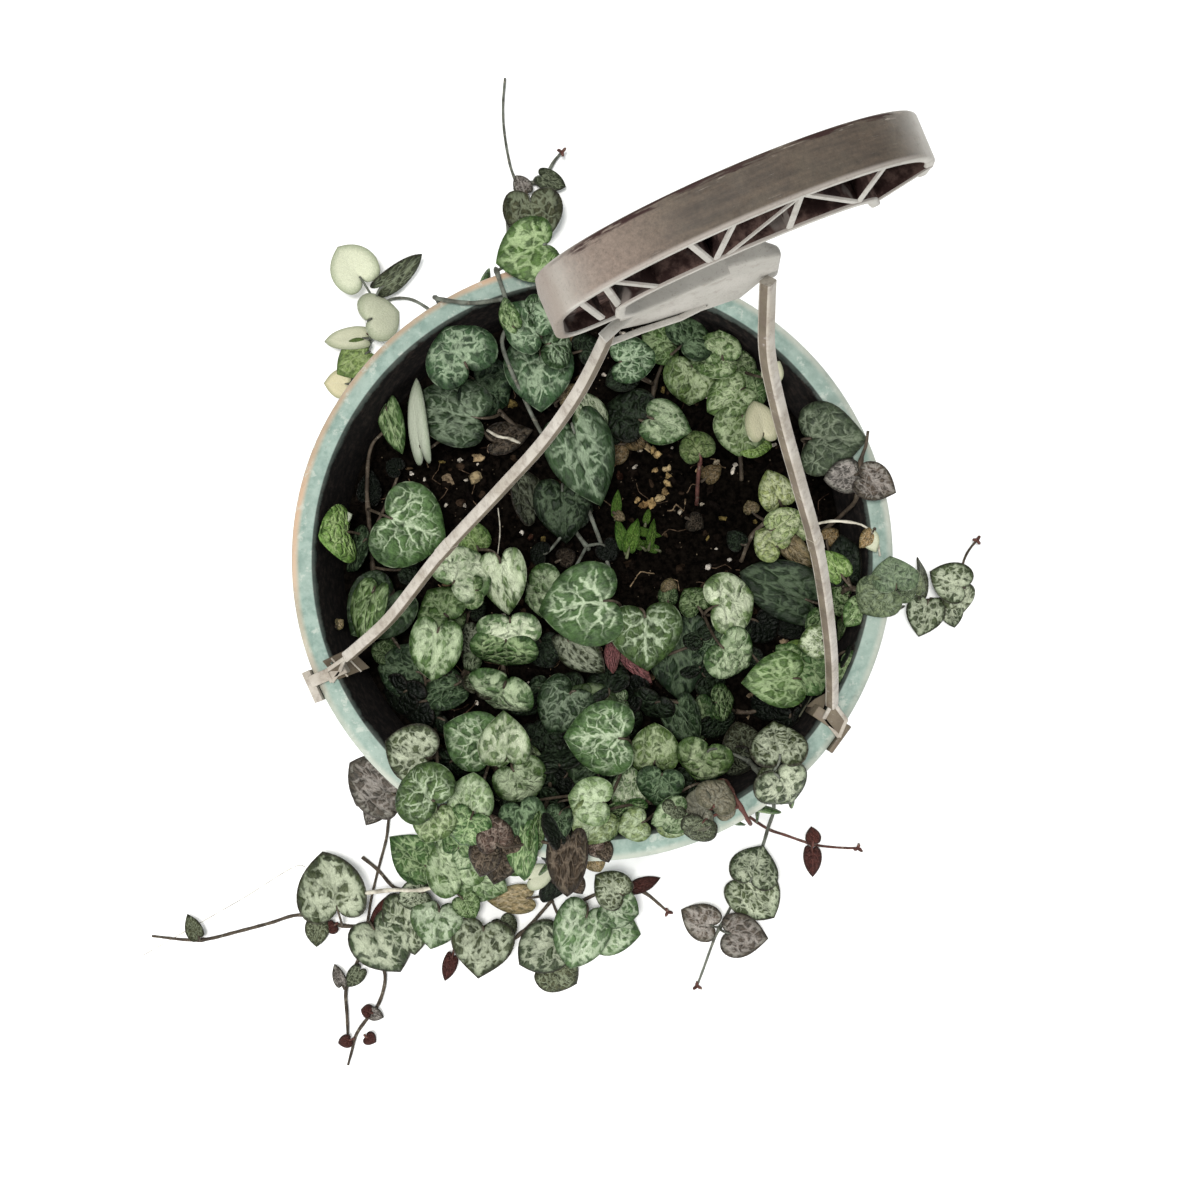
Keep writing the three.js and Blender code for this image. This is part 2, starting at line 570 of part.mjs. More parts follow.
// The vines, read off the photograph by eye. A stem's points are pixel x, pixel y and height;
// the first stem of a vine is rooted in the soil, "drape" is the azimuth where a stem hangs over
// the rim, and floor points need no height. A leaf's row is pixel x, y of the notch, pixel x, y
// of the tip, width, height of the blade, roll in degrees, and whether the tip points up.
const VINES = {
  vine_upper_left: {
    stems: [{ inside: [[520, 430, 91.5], [500, 412, 92], [480, 392, 92.5], [462, 378, 93]] }],
    leaves: [
      [468, 372, 442, 324, 18, 114.5],
      [484, 424, 418, 410, 16.5, 99],
      [470, 385, 505, 405, 15, 95],
      [428, 450, 409, 384, 13, 101, -60],
    ],
  },
  vine_top: {
    stems: [
      {
        inside: [
          [612, 585, 91.5], [608, 565, 92], [596, 530, 93], [580, 492, 94], [560, 462, 94.5],
          [537, 425, 96], [524, 398, 98], [511, 370, 101], [502, 340, 104],
        ],
        drape: 108.3,
        pairs: [80, 42],
        floor: [
          [508, 240], [508, 215], [514, 200], [516, 185], [510, 165], [504, 130], [503, 105], [505, 78],
        ],
      },
      {
        inside: [[506, 299, 110.2], [470, 303, 111.6]],
        drape: 120.7,
        skip: 3,
        pairs: [60],
        floor: [[410, 299], [384, 303], [372, 335], [362, 366], [350, 382]],
      },
      { floor: [[514, 190], [524, 183], [540, 182], [555, 160], [562, 152]] },
    ],
    leaves: [
      [548, 243, 497, 262, 15, 113.5],
      [530, 197, 535, 248, 17, 8],
      [540, 176, 565, 186, 6, 4],
      [365, 282, 337, 244, 15, 8],
      [380, 288, 423, 258, 8, 7, 50],
      [371, 322, 400, 309, 14, 4],
      [366, 338, 325, 339, 8, 5, 30],
      [368, 352, 337, 373, 11, 6],
      [347, 384, 324, 383, 8, 4],
    ],
  },
  vine_left: {
    stems: [
      {
        inside: [
          [382, 628, 91.5], [376, 590, 92], [372, 560, 92.5], [369, 522, 94], [367, 485, 95],
          [372, 445, 96], [388, 428, 97],
        ],
      },
    ],
    leaves: [
      [348, 528, 322, 533, 17, 105, 0, true],
      [366, 540, 344, 570, 12, 97, 55],
      [388, 521, 446, 546, 20, 103],
      [392, 590, 352, 632, 17, 99],
      [391, 428, 382, 405, 6.5, 101, 30],
      [393, 430, 401, 453, 6.5, 99, -30],
    ],
  },
  vine_middle_left: {
    stems: [
      {
        inside: [
          [468, 672, 91.5], [462, 650, 92], [466, 622, 92], [474, 596, 92.5], [480, 566, 93],
          [474, 550, 94],
        ],
      },
    ],
    leaves: [
      [478, 550, 462, 522, 8, 97],
      [453, 584, 478, 550, 15, 104],
      [498, 556, 509, 612, 13, 103, 40],
      [511, 619, 510, 652, 14.6, 104],
      [506, 640, 503, 673, 15.3, 99],
      [447, 612, 420, 592, 11, 99],
      [450, 622, 468, 612, 6, 96],
      [435, 632, 430, 680, 11.5, 103],
      [455, 690, 418, 700, 9, 98, 35],
      [492, 694, 478, 676, 8, 97],
      [502, 688, 495, 714, 14.5, 100],
    ],
  },
  vine_centre: {
    stems: [{ inside: [[628, 700, 91.5], [622, 675, 92], [621, 645, 94], [622, 615, 97]] }],
    leaves: [
      [608, 602, 541, 613, 18.8, 106],
      [645, 614, 648, 668, 16.5, 106],
      [566, 638, 598, 674, 12, 97, 35],
      [672, 632, 684, 694, 14, 96],
      [622, 650, 648, 686, 7, 98, 50],
    ],
  },
  vine_centre_back: {
    stems: [
      { inside: [[588, 548, 91.5], [575, 530, 92], [565, 505, 92.5], [572, 470, 93], [580, 440, 94]] },
    ],
    leaves: [
      [568, 425, 598, 503, 18, 100],
      [590, 425, 583, 390, 10, 97, 45],
      [560, 490, 569, 539, 13, 95],
      [538, 505, 522, 478, 9, 94, 30],
      [558, 588, 521, 600, 13, 98],
    ],
  },
  vine_upper: {
    stems: [{ inside: [[556, 404, 91.5], [552, 385, 92], [545, 360, 93], [535, 335, 94]] }],
    leaves: [
      [538, 330, 512, 305, 12, 112],
      [545, 348, 576, 342, 11.5, 104],
      [540, 352, 541, 408, 14.8, 99],
      [580, 352, 600, 340, 8, 96],
      [514, 328, 499, 298, 9, 114, -60],
    ],
  },
  vine_upper_middle: {
    stems: [{ inside: [[655, 440, 91.5], [652, 410, 92], [655, 385, 92.5], [664, 360, 93]] }],
    leaves: [
      [618, 362, 656, 352, 10, 101],
      [672, 345, 645, 332, 9, 99],
      [682, 345, 702, 322, 10, 104],
      [692, 366, 690, 404, 12.5, 98.5],
      [652, 416, 689, 429, 10.3, 100],
      [640, 425, 612, 402, 11, 94],
    ],
  },
  shoot_upper_right: {
    stems: [{ inside: [[697, 503, 91.5], [698, 480, 94], [700, 462, 97]] }],
    leaves: [[700, 456, 690, 430, 8.3, 98]],
  },
  vine_upper_right: {
    stems: [
      { inside: [[742, 478, 91.5], [740, 450, 92], [738, 420, 93], [735, 392, 93], [733, 368, 94]] },
    ],
    leaves: [
      [728, 356, 691, 358, 10, 104],
      [732, 372, 752, 352, 8, 100],
      [745, 398, 752, 367, 7, 101],
      [740, 392, 708, 408, 9.5, 103],
      [742, 414, 741, 454, 14, 101],
      [762, 432, 756, 401, 8, 105, 40],
      [770, 378, 780, 361, 5, 111.5],
    ],
  },
  shoot_right: {
    stems: [{ inside: [[800, 470, 91.5], [803, 455, 98], [806, 442, 105]] }],
    leaves: [[808, 437, 857, 439, 17, 112, 0, true]],
  },
  vine_right_tendril: {
    stems: [
      {
        inside: [
          [824, 530, 91.5], [845, 512, 98], [857, 496, 111.5], [860, 478, 112], [861, 460, 113],
          [866, 445, 114], [868, 431, 115],
        ],
      },
    ],
    leaves: [[855, 474, 825, 479, 8, 113], [862, 478, 896, 490, 9, 114]],
  },
  vine_middle_right: {
    stems: [{ inside: [[742, 560, 91.5], [752, 535, 92.5], [768, 520, 94], [785, 505, 95]] }],
    leaves: [
      [778, 503, 768, 470, 8.5, 101],
      [773, 532, 801, 512, 7.5, 102],
      [778, 545, 757, 533, 8.3, 99],
      [786, 543, 808, 568, 6, 97, 30],
    ],
  },
  vine_right_centre: {
    stems: [{ inside: [[694, 650, 91.5], [700, 635, 93], [704, 615, 96]] }],
    leaves: [
      [716, 598, 750, 601, 15, 103],
      [718, 645, 751, 668, 12.8, 103],
      [697, 606, 684, 590, 7, 97],
    ],
  },
  vine_right_inner: {
    stems: [{ inside: [[820, 625, 91.5], [822, 612, 94], [822, 600, 95]] }],
    leaves: [
      [815, 600, 739, 576, 16.5, 97],
      [822, 615, 812, 642, 7, 99],
      [822, 640, 799, 652, 6.5, 101],
    ],
  },
  vine_right_trailing: {
    stems: [
      {
        inside: [[824, 598, 91.5], [838, 597, 95]],
        drape: -6.3,
        pairs: [80, 42],
        floor: [[905, 597], [925, 600], [945, 597], [958, 583], [964, 560], [969, 550, 3], [977, 540, 3]],
      },
    ],
    leaves: [
      [893, 589, 890, 555, 11, 114],
      [884, 591, 872, 621, 10.5, 113],
      [897, 596, 920, 583, 7, 104],
      [845, 578, 846, 543, 8, 107, 35],
      [842, 576, 827, 554, 6, 103],
      [846, 592, 832, 582, 5, 99],
      [922, 590, 922, 556, 9, 5.5, 80],
      [932, 604, 918, 637, 12.3, 5],
      [962, 590, 931, 572, 11, 9],
      [955, 595, 967, 612, 9, 5],
      [950, 604, 955, 627, 6.5, 4],
    ],
  },
  vine_lower_right: {
    stems: [{ inside: [[738, 712, 91.5], [752, 712, 92], [775, 700, 93], [800, 690, 94]] }],
    leaves: [
      [800, 678, 742, 683, 14.5, 103],
      [797, 668, 858, 678, 15, 112.5],
      [790, 660, 778, 645, 5.5, 98],
      [714, 702, 736, 702, 8.7, 98],
      [674, 704, 692, 744, 10, 97, 45],
    ],
  },
  vine_front_right: {
    stems: [
      {
        inside: [[730, 750, 91.5], [740, 757, 95]],
        drape: -52,
        pairs: [84, 48],
        floor: [
          [774, 806], [768, 828, 3.3], [763, 845], [750, 880], [735, 900], [724, 920], [716, 935],
          [703, 970], [697, 986],
        ],
      },
    ],
    leaves: [
      [705, 752, 699, 782, 11.5, 103],
      [745, 765, 738, 725, 12, 100],
      [778, 757, 775, 720, 13.6, 113],
      [776, 776, 794, 807, 12.3, 113.5],
      [750, 880, 765, 846, 14, 9],
      [742, 880, 772, 916, 13, 4],
      [713, 926, 682, 911, 10.8, 5],
      [727, 933, 768, 940, 13.4, 5],
    ],
  },
  runner_front_right: {
    stems: [
      {
        inside: [[690, 775, 91.5], [700, 788, 97]],
        drape: -59,
        pairs: [66],
        floor: [[768, 829, 1.2], [785, 835], [805, 842], [815, 845], [845, 848], [858, 848]],
      },
    ],
    leaves: [
      [712, 811, 722, 779, 10.4, 113.5],
      [703, 818, 693, 842, 9, 113],
      [702, 812, 682, 800, 6, 111],
      [812, 850, 813, 877, 5.2, 3],
    ],
  },
  vine_lower_middle: {
    stems: [{ inside: [[612, 795, 91.5], [622, 780, 92.5], [630, 765, 94], [628, 748, 97]] }],
    leaves: [
      [625, 742, 566, 738, 18, 106],
      [655, 768, 655, 726, 11, 101],
      [624, 778, 632, 802, 7, 102],
      [660, 775, 658, 810, 9.3, 97],
      [600, 812, 563, 806, 17, 114],
      [625, 803, 630, 822, 10, 104],
      [648, 802, 656, 830, 7, 112],
    ],
  },
  vine_lower_middle_left: {
    stems: [{ inside: [[575, 745, 91.5], [585, 735, 92], [590, 715, 93]] }],
    leaves: [
      [588, 700, 550, 706, 12, 95],
      [565, 760, 555, 742, 12, 93],
    ],
  },
  vine_lower_left: {
    stems: [{ inside: [[497, 772, 91.5], [494, 762, 93], [492, 755, 95]] }],
    leaves: [
      [484, 750, 447, 718, 14, 102],
      [508, 757, 505, 717, 11.4, 105],
      [515, 771, 531, 800, 12.3, 102],
      [470, 812, 473, 775, 11, 113],
    ],
  },
  vine_left_lower: {
    stems: [{ inside: [[446, 738, 91.5], [436, 728, 94], [430, 700, 94], [424, 682, 95]] }],
    leaves: [
      [420, 675, 378, 673, 12, 95],
      [424, 757, 386, 740, 11, 111.5],
      [434, 800, 408, 768, 14.5, 117],
      [384, 655, 368, 643, 6, 94],
    ],
  },
  vine_trailing_left: {
    stems: [
      {
        inside: [[459, 730, 91.5], [447, 755, 95]],
        drape: -129.5,
        pairs: [80, 42],
        floor: [[393, 803], [386, 840], [378, 870], [371, 900], [367, 925, 2]],
      },
      {
        floor: [
          [367, 925], [345, 926], [300, 915, 2], [270, 923], [240, 931], [200, 940], [160, 937], [152, 936],
        ],
      },
      {
        floor: [
          [367, 925], [372, 945], [385, 975], [378, 1005], [370, 1015], [356, 1035], [352, 1050], [348, 1065],
        ],
      },
      { floor: [[368, 935], [352, 975], [346, 990], [347, 1015], [348, 1040]] },
      { floor: [[362, 857], [378, 870], [395, 888], [410, 890]] },
    ],
    leaves: [
      [338, 911, 322, 854, 21, 8],
      [318, 922, 316, 947, 6.8, 3],
      [372, 925, 398, 974, 19, 6],
      [360, 970, 347, 987, 5, 4],
      [198, 936, 187, 915, 5, 3.5],
      [393, 796, 349, 766, 13, 85],
      [380, 798, 365, 823, 6, 80],
    ],
  },
  vine_trailing_front_left: {
    stems: [
      {
        inside: [[491, 742, 91.5], [478, 765, 95]],
        drape: -119.4,
        pairs: [61],
        floor: [[430, 870], [420, 900], [425, 925], [445, 930], [455, 945]],
      },
    ],
    leaves: [
      [430, 812, 418, 842, 9.5, 113.5],
      [428, 868, 390, 838, 14, 8],
      [455, 885, 440, 842, 15, 12],
      [470, 878, 500, 893, 13, 9],
      [405, 905, 417, 953, 12, 5],
      [440, 915, 430, 950, 15, 7],
      [484, 928, 478, 978, 18, 8],
      [462, 898, 475, 918, 6, 10],
    ],
  },
  vine_trailing_front: {
    stems: [
      {
        inside: [[548, 765, 91.5], [550, 790, 96]],
        drape: -101,
        pairs: [80, 42],
        floor: [[549, 872], [552, 900], [565, 925], [590, 940]],
      },
      { floor: [[552, 900], [530, 925], [508, 945], [505, 950]] },
      { floor: [[559, 914], [575, 905], [600, 893], [634, 890], [645, 893], [660, 905], [668, 912]] },
    ],
    leaves: [
      [497, 846, 490, 813, 10, 113.5],
      [517, 828, 527, 876, 11, 113.5, 30],
      [562, 842, 548, 812, 8, 114, 50],
      [572, 850, 568, 903, 11, 60],
      [528, 880, 553, 868, 6.5, 18],
      [528, 900, 490, 902, 8, 5],
      [558, 940, 522, 965, 14, 7],
      [545, 968, 577, 985, 12, 3.5],
      [590, 915, 570, 970, 16, 11],
      [598, 930, 638, 934, 14, 7],
      [605, 900, 637, 912, 12, 13],
      [622, 893, 597, 880, 10, 16],
    ],
  },
};

const potted = new THREE.Group();
potted.name = "potted_string_of_hearts";
potted.add(node("pot", pot(), PLASTIC_TEAL, 0.55));
potted.add(node("soil", soil(), SOIL_BROWN, 1));
potted.add(node("hanger_hook", hub(), PLASTIC_BEIGE, 0.6));
for (const side of Object.keys(ARM_PATHS)) {
  potted.add(node(`hanger_arm_${side}`, arm(side), PLASTIC_BEIGE, 0.6));
}
for (const [name, parts] of Object.entries(VINES)) {
  potted.add(node(name, vine(parts), LEAF_GREEN, 0.6));
}

export default potted;
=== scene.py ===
# Looks of the potted string of hearts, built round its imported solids.
# Shapes are worked out in millimetres and stored in metres; +Z is up and +Y points to the back.
import json
import math
import random

import bmesh
import bpy
from mathutils import Matrix, Quaternion, Vector, noise

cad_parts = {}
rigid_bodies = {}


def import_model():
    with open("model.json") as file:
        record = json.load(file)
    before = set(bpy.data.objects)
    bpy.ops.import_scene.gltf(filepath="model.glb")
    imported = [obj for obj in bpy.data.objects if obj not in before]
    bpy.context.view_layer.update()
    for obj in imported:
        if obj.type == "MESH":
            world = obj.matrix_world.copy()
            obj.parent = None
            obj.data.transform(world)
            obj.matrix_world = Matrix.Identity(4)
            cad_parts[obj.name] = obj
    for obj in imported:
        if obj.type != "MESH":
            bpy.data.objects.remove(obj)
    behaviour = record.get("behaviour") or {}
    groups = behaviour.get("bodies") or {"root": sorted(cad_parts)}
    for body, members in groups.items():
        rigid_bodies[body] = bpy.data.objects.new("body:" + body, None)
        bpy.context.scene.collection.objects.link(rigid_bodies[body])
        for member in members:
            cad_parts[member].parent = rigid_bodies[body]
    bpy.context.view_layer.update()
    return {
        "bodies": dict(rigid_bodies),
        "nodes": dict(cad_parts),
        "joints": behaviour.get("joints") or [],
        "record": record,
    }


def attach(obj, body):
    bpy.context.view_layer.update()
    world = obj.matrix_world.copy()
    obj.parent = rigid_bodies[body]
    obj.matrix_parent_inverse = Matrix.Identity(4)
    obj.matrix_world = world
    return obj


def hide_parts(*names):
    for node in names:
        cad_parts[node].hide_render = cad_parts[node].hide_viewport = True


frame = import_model()

MM = 0.001
BODY = "root"
UP = Vector((0, 0, 1))

# The same driving dimensions as the solids, in millimetres
POT_HEIGHT = 110
RIM_RADIUS = 75
LIP_WIDTH = 6
LIP_DROP = 9
WALL = 1.8
FOOT_RADIUS = 51
FLOOR_THICK = 3
SOIL_TOP = 89
GAP = 0.3
STEM_RADIUS = 0.55
ROOT_DEPTH = 5
HUB_BOTTOM = 257
HUB_TOP = HUB_BOTTOM + 16
INNER_TOP = RIM_RADIUS - LIP_WIDTH
DRAIN_RADIUS = 4
DRAIN_RING = 30
DRAINS = 4

# The photograph's view, straight down: the eye above the floor and the pixels per unit of slope
EYE = Vector((1.94, -9.88, 550))
PHOTO_MIDDLE = 600
PHOTO_SIDE = 1200
PHOTO_FOCAL = 1772
SENSOR_MM = 36


def seen(x, y, z):
    """The point at height z that the photograph shows at pixel x, y."""
    reach = (EYE.z - z) / PHOTO_FOCAL
    return Vector((EYE.x + (x - PHOTO_MIDDLE) * reach, EYE.y + (PHOTO_MIDDLE - y) * reach, z))


def around(azimuth, radius, z):
    turn = math.radians(azimuth)
    return Vector((radius * math.cos(turn), radius * math.sin(turn), z))


def smooth(low, high, value):
    share = min(1, max(0, (value - low) / (high - low)))
    return share * share * (3 - 2 * share)


def inner_radius(z):
    slope = (INNER_TOP - (FOOT_RADIUS - WALL)) / (POT_HEIGHT - FLOOR_THICK)
    return INNER_TOP - (POT_HEIGHT - z) * slope


# Studio: lamps with their place and aim in metres, width, watts and colour
LAMPS = [
    ("overhead", (-0.22, 0.14, 2.60), (0, 0, 0.08), 0.70, 58, (1.0, 0.985, 0.96)),
    ("front_fill", (-0.35, -1.00, 0.55), (0, 0.02, 0.22), 0.40, 8, (1.0, 0.99, 0.975)),
]
WORLD_COLOUR = (0.95, 0.97, 1.0, 1.0)
WORLD_STRENGTH = 0.68
FLOOR_CARD = ((0.93, 0.93, 0.925), (0.96, 0.96, 0.955))
FLOOR_HALF = 3000
FLOOR_GAP = 0.05
# How much darker the part's colours are than they look under the studio's bright light
PAINT_SHARE = 0.74

# Curves
SPLINE_SAMPLES = 200
FINE_STEP = 1.3

# A vine's materials, in the order of its slots
TOP, UNDER, STEM = 0, 1, 2

# Stems: how one lies over the rim and hangs down to the floor, as radius and height
DRAPE = [
    (64.5, 104), (68.1, 110.6), (71.6, 111.4), (75.6, 110.2), (77.2, 104),
    (77.8, 84), (78.2, 56), (78.8, 28), (80.5, 8), (86, 1.9),
]
FLOOR_LIFT = 1.3
# A rooted stem goes down through these heights
ROOT_HEIGHTS = (SOIL_TOP - ROOT_DEPTH, SOIL_TOP - 1.5, SOIL_TOP + 1.5)
STEM_STEP = 8
RIM_STEP = 5
STEM_SIDES = 8
STALK_SIDES = 6
# A stalk's radius at its joint, as a share, and how much of that it loses towards the leaf
STALK_RADIUS = 0.4
STALK_TAPER = (1.15, 0.35)
# How much thinner a stem gets at its end, from what share of its length, how uneven it is, and the
# turn from one point to the next of that
STEM_TAPER = 0.3
STEM_TAPER_FROM = 0.7
STEM_UNEVEN = 0.06
STEM_LUMPS = 1.7
# How far a stalk runs under its blade, and how far behind the notch it bends
STALK_OVERLAP = 0.06
STALK_BEND = 0.24
# A joint is clear of a leaf where it lies this far below the blade
JOINT_DROP = 1.5
# A joint's swelling, as a share of the stem's radius, and how far it reaches along the stem
KNOT_SWELL = 0.45
KNOT_REACH = 1.2
# Tints of stems and stalks
STEM_TINTS = {
    "brown": (0.092, 0.070, 0.048),
    "red": (0.140, 0.056, 0.044),
    "grey": (0.170, 0.185, 0.150),
    "green": (0.150, 0.170, 0.085),
}

# Leaves: shares of the length and the width, and the ranges that their random draws come from
LEAF_WIDTH_SHARE = 1.18
LEAF_NOTCH = 0.04
LEAF_MIDDLE = 0.38
# A blade is a little larger than its row says, because its edge curls under
LEAF_GROWTH = 1.05
LEAF_FOLD = (0.06, 0.26)
LEAF_DROOP = (0.02, 0.14)
LEAF_CURL = (-0.14, 0.0)
LEAF_WAVE = (0.006, 0.022)
LEAF_TONE = (0.84, 1.18)
LEAF_WARMTH = (-0.09, 0.11)
# How soft the fold along its middle is, and half the blade's thickness there and at its rim
GROOVE_SOFT = 0.05
BLADE_HALF = 0.45
RIM_HALF = 0.17
# How far a blade stays above the soil or the floor
GROUND_CLEAR = 0.8
# Leaves whose notch is this far below the rim stay inside the wall, this far from it
LOW_DROP = 3
WALL_CLEAR = 0.8
# Leaves deep in the pot are painted darker as shade, and so is one in shade whose look has a minus
LOW_SHADE_TONE = 0.42
LOW_HEIGHTS = (94, 103)
SHADE_DARK = 0.68
# The net is less dark on a dark leaf than its cells are
NET_TONE_POWER = 0.75
# Half of a heart-shaped outline from the notch to the tip: u, v of a pointed leaf, v of a round one
HEART = [
    (0.06, 0.0, 0.0), (-0.03, 0.03, 0.04), (-0.10, 0.11, 0.13), (-0.13, 0.24, 0.26), (-0.09, 0.38, 0.39),
    (0.05, 0.48, 0.485), (0.24, 0.52, 0.53), (0.43, 0.485, 0.52), (0.61, 0.39, 0.46), (0.77, 0.25, 0.355),
    (0.90, 0.11, 0.20), (1.0, 0.0, 0.0),
]
ROUNDNESS = (0.0, 0.9)
# How much one half may be broader, and its lobe longer, and where along it a lobe begins and ends
BULGE = 0.07
LOBE = 0.04
LOBE_REACH = (0.15, -0.1)
HALF_STEPS = 20
LEAF_RINGS = [0.16, 0.34, 0.52, 0.68, 0.81, 0.91, 0.97, 1.0]

# The pairs of leaves on a hanging stem: azimuth from the stem and radius of the notch and the tip,
# how far the tip hangs as a share of the width, how far one is above the other, and the roll
DRAPE_LEAF_WIDTH = 12
DRAPE_LEAF_NOTCH = (4.4, 78.4)
DRAPE_LEAF_TIP = (4.8, 79.5)
DRAPE_LEAF_HANG = 0.8
DRAPE_LEAF_STAGGER = 1.5
DRAPE_LEAF_ROLL = -12
# Letters of LOOKS that these leaves draw from
DRAPE_LOOKS = "ganegs"

# A leaf's look: colour of its cells, colour of its silver net, how far the net spreads, how clear
# its main veins are, and how dark its edge is. In order: the large leaves with a net, their darker
# and darkest forms, the darkest two being painted shade for leaves deep in shadow, green, silvered
# and pale ones, fresh shoots, old grey and brown ones, red buds, pink and straw-coloured dead ones,
# and green sprouts
LOOKS = {
    "n": ((0.056, 0.108, 0.036), (0.50, 0.60, 0.40), 0.32, 0.95, 0.1),
    "a": ((0.032, 0.074, 0.027), (0.44, 0.56, 0.37), 0.50, 0.80, 0.1),
    "d": ((0.019, 0.046, 0.017), (0.24, 0.34, 0.19), 0.50, 0.60, 0.1),
    "v": ((0.007, 0.015, 0.005), (0.070, 0.11, 0.058), 0.46, 0.45, 0.2),
    "k": ((0.004, 0.008, 0.0035), (0.026, 0.038, 0.022), 0.32, 0.40, 0.3),
    "g": ((0.048, 0.104, 0.026), (0.42, 0.54, 0.28), 0.56, 0.60, 0.0),
    "s": ((0.052, 0.104, 0.030), (0.52, 0.62, 0.39), 0.82, 0.55, 0.0),
    "l": ((0.068, 0.124, 0.042), (0.56, 0.65, 0.46), 0.70, 0.45, 0.3),
    "w": ((0.084, 0.142, 0.048), (0.66, 0.73, 0.51), 0.88, 0.40, 0.2),
    "f": ((0.150, 0.265, 0.065), (0.48, 0.62, 0.27), 0.55, 0.35, 0.0),
    "j": ((0.070, 0.124, 0.036), (0.49, 0.58, 0.34), 0.64, 0.45, 0.0),
    "h": ((0.140, 0.188, 0.112), (0.31, 0.37, 0.26), 0.28, 0.25, 0.2),
    "u": ((0.064, 0.084, 0.047), (0.30, 0.35, 0.24), 0.40, 0.60, 0.3),
    "c": ((0.140, 0.200, 0.085), (0.48, 0.57, 0.37), 0.72, 0.30, 0.0),
    "C": ((0.270, 0.340, 0.135), (0.64, 0.69, 0.43), 0.66, 0.25, 0.1),
    "p": ((0.600, 0.600, 0.425), (0.74, 0.75, 0.66), 0.04, 0.08, 0.30),
    "q": ((0.115, 0.170, 0.050), (0.36, 0.43, 0.20), 0.50, 0.40, 0.2),
    "e": ((0.040, 0.056, 0.022), (0.56, 0.61, 0.44), 0.70, 0.60, 0.8),
    "o": ((0.046, 0.053, 0.027), (0.30, 0.34, 0.22), 0.50, 0.55, 0.6),
    "i": ((0.165, 0.160, 0.120), (0.38, 0.38, 0.31), 0.18, 0.30, 0.35),
    "b": ((0.078, 0.066, 0.056), (0.44, 0.40, 0.36), 0.68, 0.45, 0.8),
    "x": ((0.070, 0.044, 0.034), (0.40, 0.32, 0.26), 0.50, 0.35, 0.5),
    "y": ((0.034, 0.024, 0.015), (0.22, 0.17, 0.12), 0.45, 0.40, 0.6),
    "r": ((0.055, 0.016, 0.012), (0.13, 0.045, 0.035), 0.20, 0.60, 0.5),
    "m": ((0.340, 0.120, 0.120), (0.52, 0.26, 0.25), 0.30, 0.40, 0.1),
    "t": ((0.300, 0.220, 0.110), (0.60, 0.50, 0.34), 0.35, 0.40, 0.2),
    "z": ((0.110, 0.255, 0.028), (0.34, 0.50, 0.12), 0.30, 0.50, 0.0),
}
# How many cells of the silver net lie across a leaf, and the looks that have more of them
NET_CELLS = (3.6, 6.0)
FINE_LOOKS = "eobl"
FINER = 1.25
EDGE_TINT = (0.028, 0.018, 0.016)
# What multiplies a cell's colour where it is dark and light, and the blade's colour at its margin, where it
# is painted darker as shade
CELL_SHADES = ((0.42, 0.46, 0.42), (1.60, 1.55, 1.45))
MARGIN_SHADE = (0.42, 0.48, 0.40)
# The underside: what its colour is mixed with, its flush and its ridges
UNDER_PALE = (0.24, 0.27, 0.17)
UNDER_FLUSH = (0.19, 0.12, 0.10)
UNDER_RIDGE = (0.36, 0.36, 0.26)
STEM_SHADE = (0.42, 0.40, 0.38)
STEM_WORN = (0.32, 0.29, 0.22)

# The veins of half a leaf, as shares of its length and width: start, end, half-widths at both
VEINS = [
    ((0.05, 0.0), (0.50, 0.0), 0.030, 0.024),
    ((0.50, 0.0), (0.86, 0.0), 0.024, 0.010),
    ((0.06, 0.0), (-0.01, 0.15), 0.022, 0.020),
    ((-0.01, 0.15), (-0.07, 0.25), 0.016, 0.006),
    ((-0.01, 0.15), (0.06, 0.33), 0.018, 0.008),
    ((0.08, 0.0), (0.21, 0.18), 0.024, 0.020),
    ((0.21, 0.18), (0.15, 0.36), 0.017, 0.006),
    ((0.21, 0.18), (0.37, 0.31), 0.019, 0.008),
    ((0.33, 0.0), (0.46, 0.14), 0.020, 0.016),
    ((0.46, 0.14), (0.43, 0.26), 0.014, 0.005),
    ((0.46, 0.14), (0.61, 0.19), 0.015, 0.006),
    ((0.58, 0.0), (0.72, 0.10), 0.016, 0.006),
]
VEIN_SHARE = 0.88

# Pot
POT_SIDES = 168
HOLE_SIDES = 14
# The profile's longest edge, the steps of its round corners, how far the wall sways, and from what
# height up
POT_EDGE = 4
CORNER_STEPS = 4
RIM_WOBBLE = 0.18
WOBBLE_FROM = 30
# The teal plastic's streaks from dark to light, its faded clouds, and the lip's bleached edge
TEAL = ((0.215, 0.312, 0.266), (0.350, 0.452, 0.392))
FADED_TEAL = (0.360, 0.440, 0.380)
BLEACHED = ((0.560, 0.600, 0.520), (0.700, 0.560, 0.420))
RUST = (0.560, 0.330, 0.190)
WORN_LIP = (0.600, 0.640, 0.560)
POT_SPECK = (0.030, 0.022, 0.018)
POT_DUST = (0.120, 0.110, 0.085)
# The inner wall's near black: grime and painted shade together
INNER_WALL_GRIME_AND_SHADE = ((0.005, 0.004, 0.0035), (0.030, 0.022, 0.018))

# Soil
SOIL_RINGS = 66
SOIL_SIDES = 200
# The rings lie closer together towards the wall
SOIL_RING_POWER = 0.8
SOIL_SIDE_DROP = 4
SOIL_TINT = (0.0055, 0.0045, 0.0036)
# What multiplies the soil's colour where it is dark and light
SOIL_SHADES = ((0.22, 0.20, 0.19), (1.6, 1.5, 1.4))
GRIT_TINT = (0.230, 0.180, 0.120)
GRAINS = 1150
GRAIN_TINTS = [
    ((0.010, 0.0075, 0.006), 40), ((0.005, 0.004, 0.0035), 38), ((0.032, 0.022, 0.015), 9),
    ((0.110, 0.080, 0.048), 4), ((0.270, 0.215, 0.145), 2.5), ((0.620, 0.600, 0.540), 3.5),
    ((0.045, 0.022, 0.015), 2.5), ((0.190, 0.150, 0.055), 1.5),
]
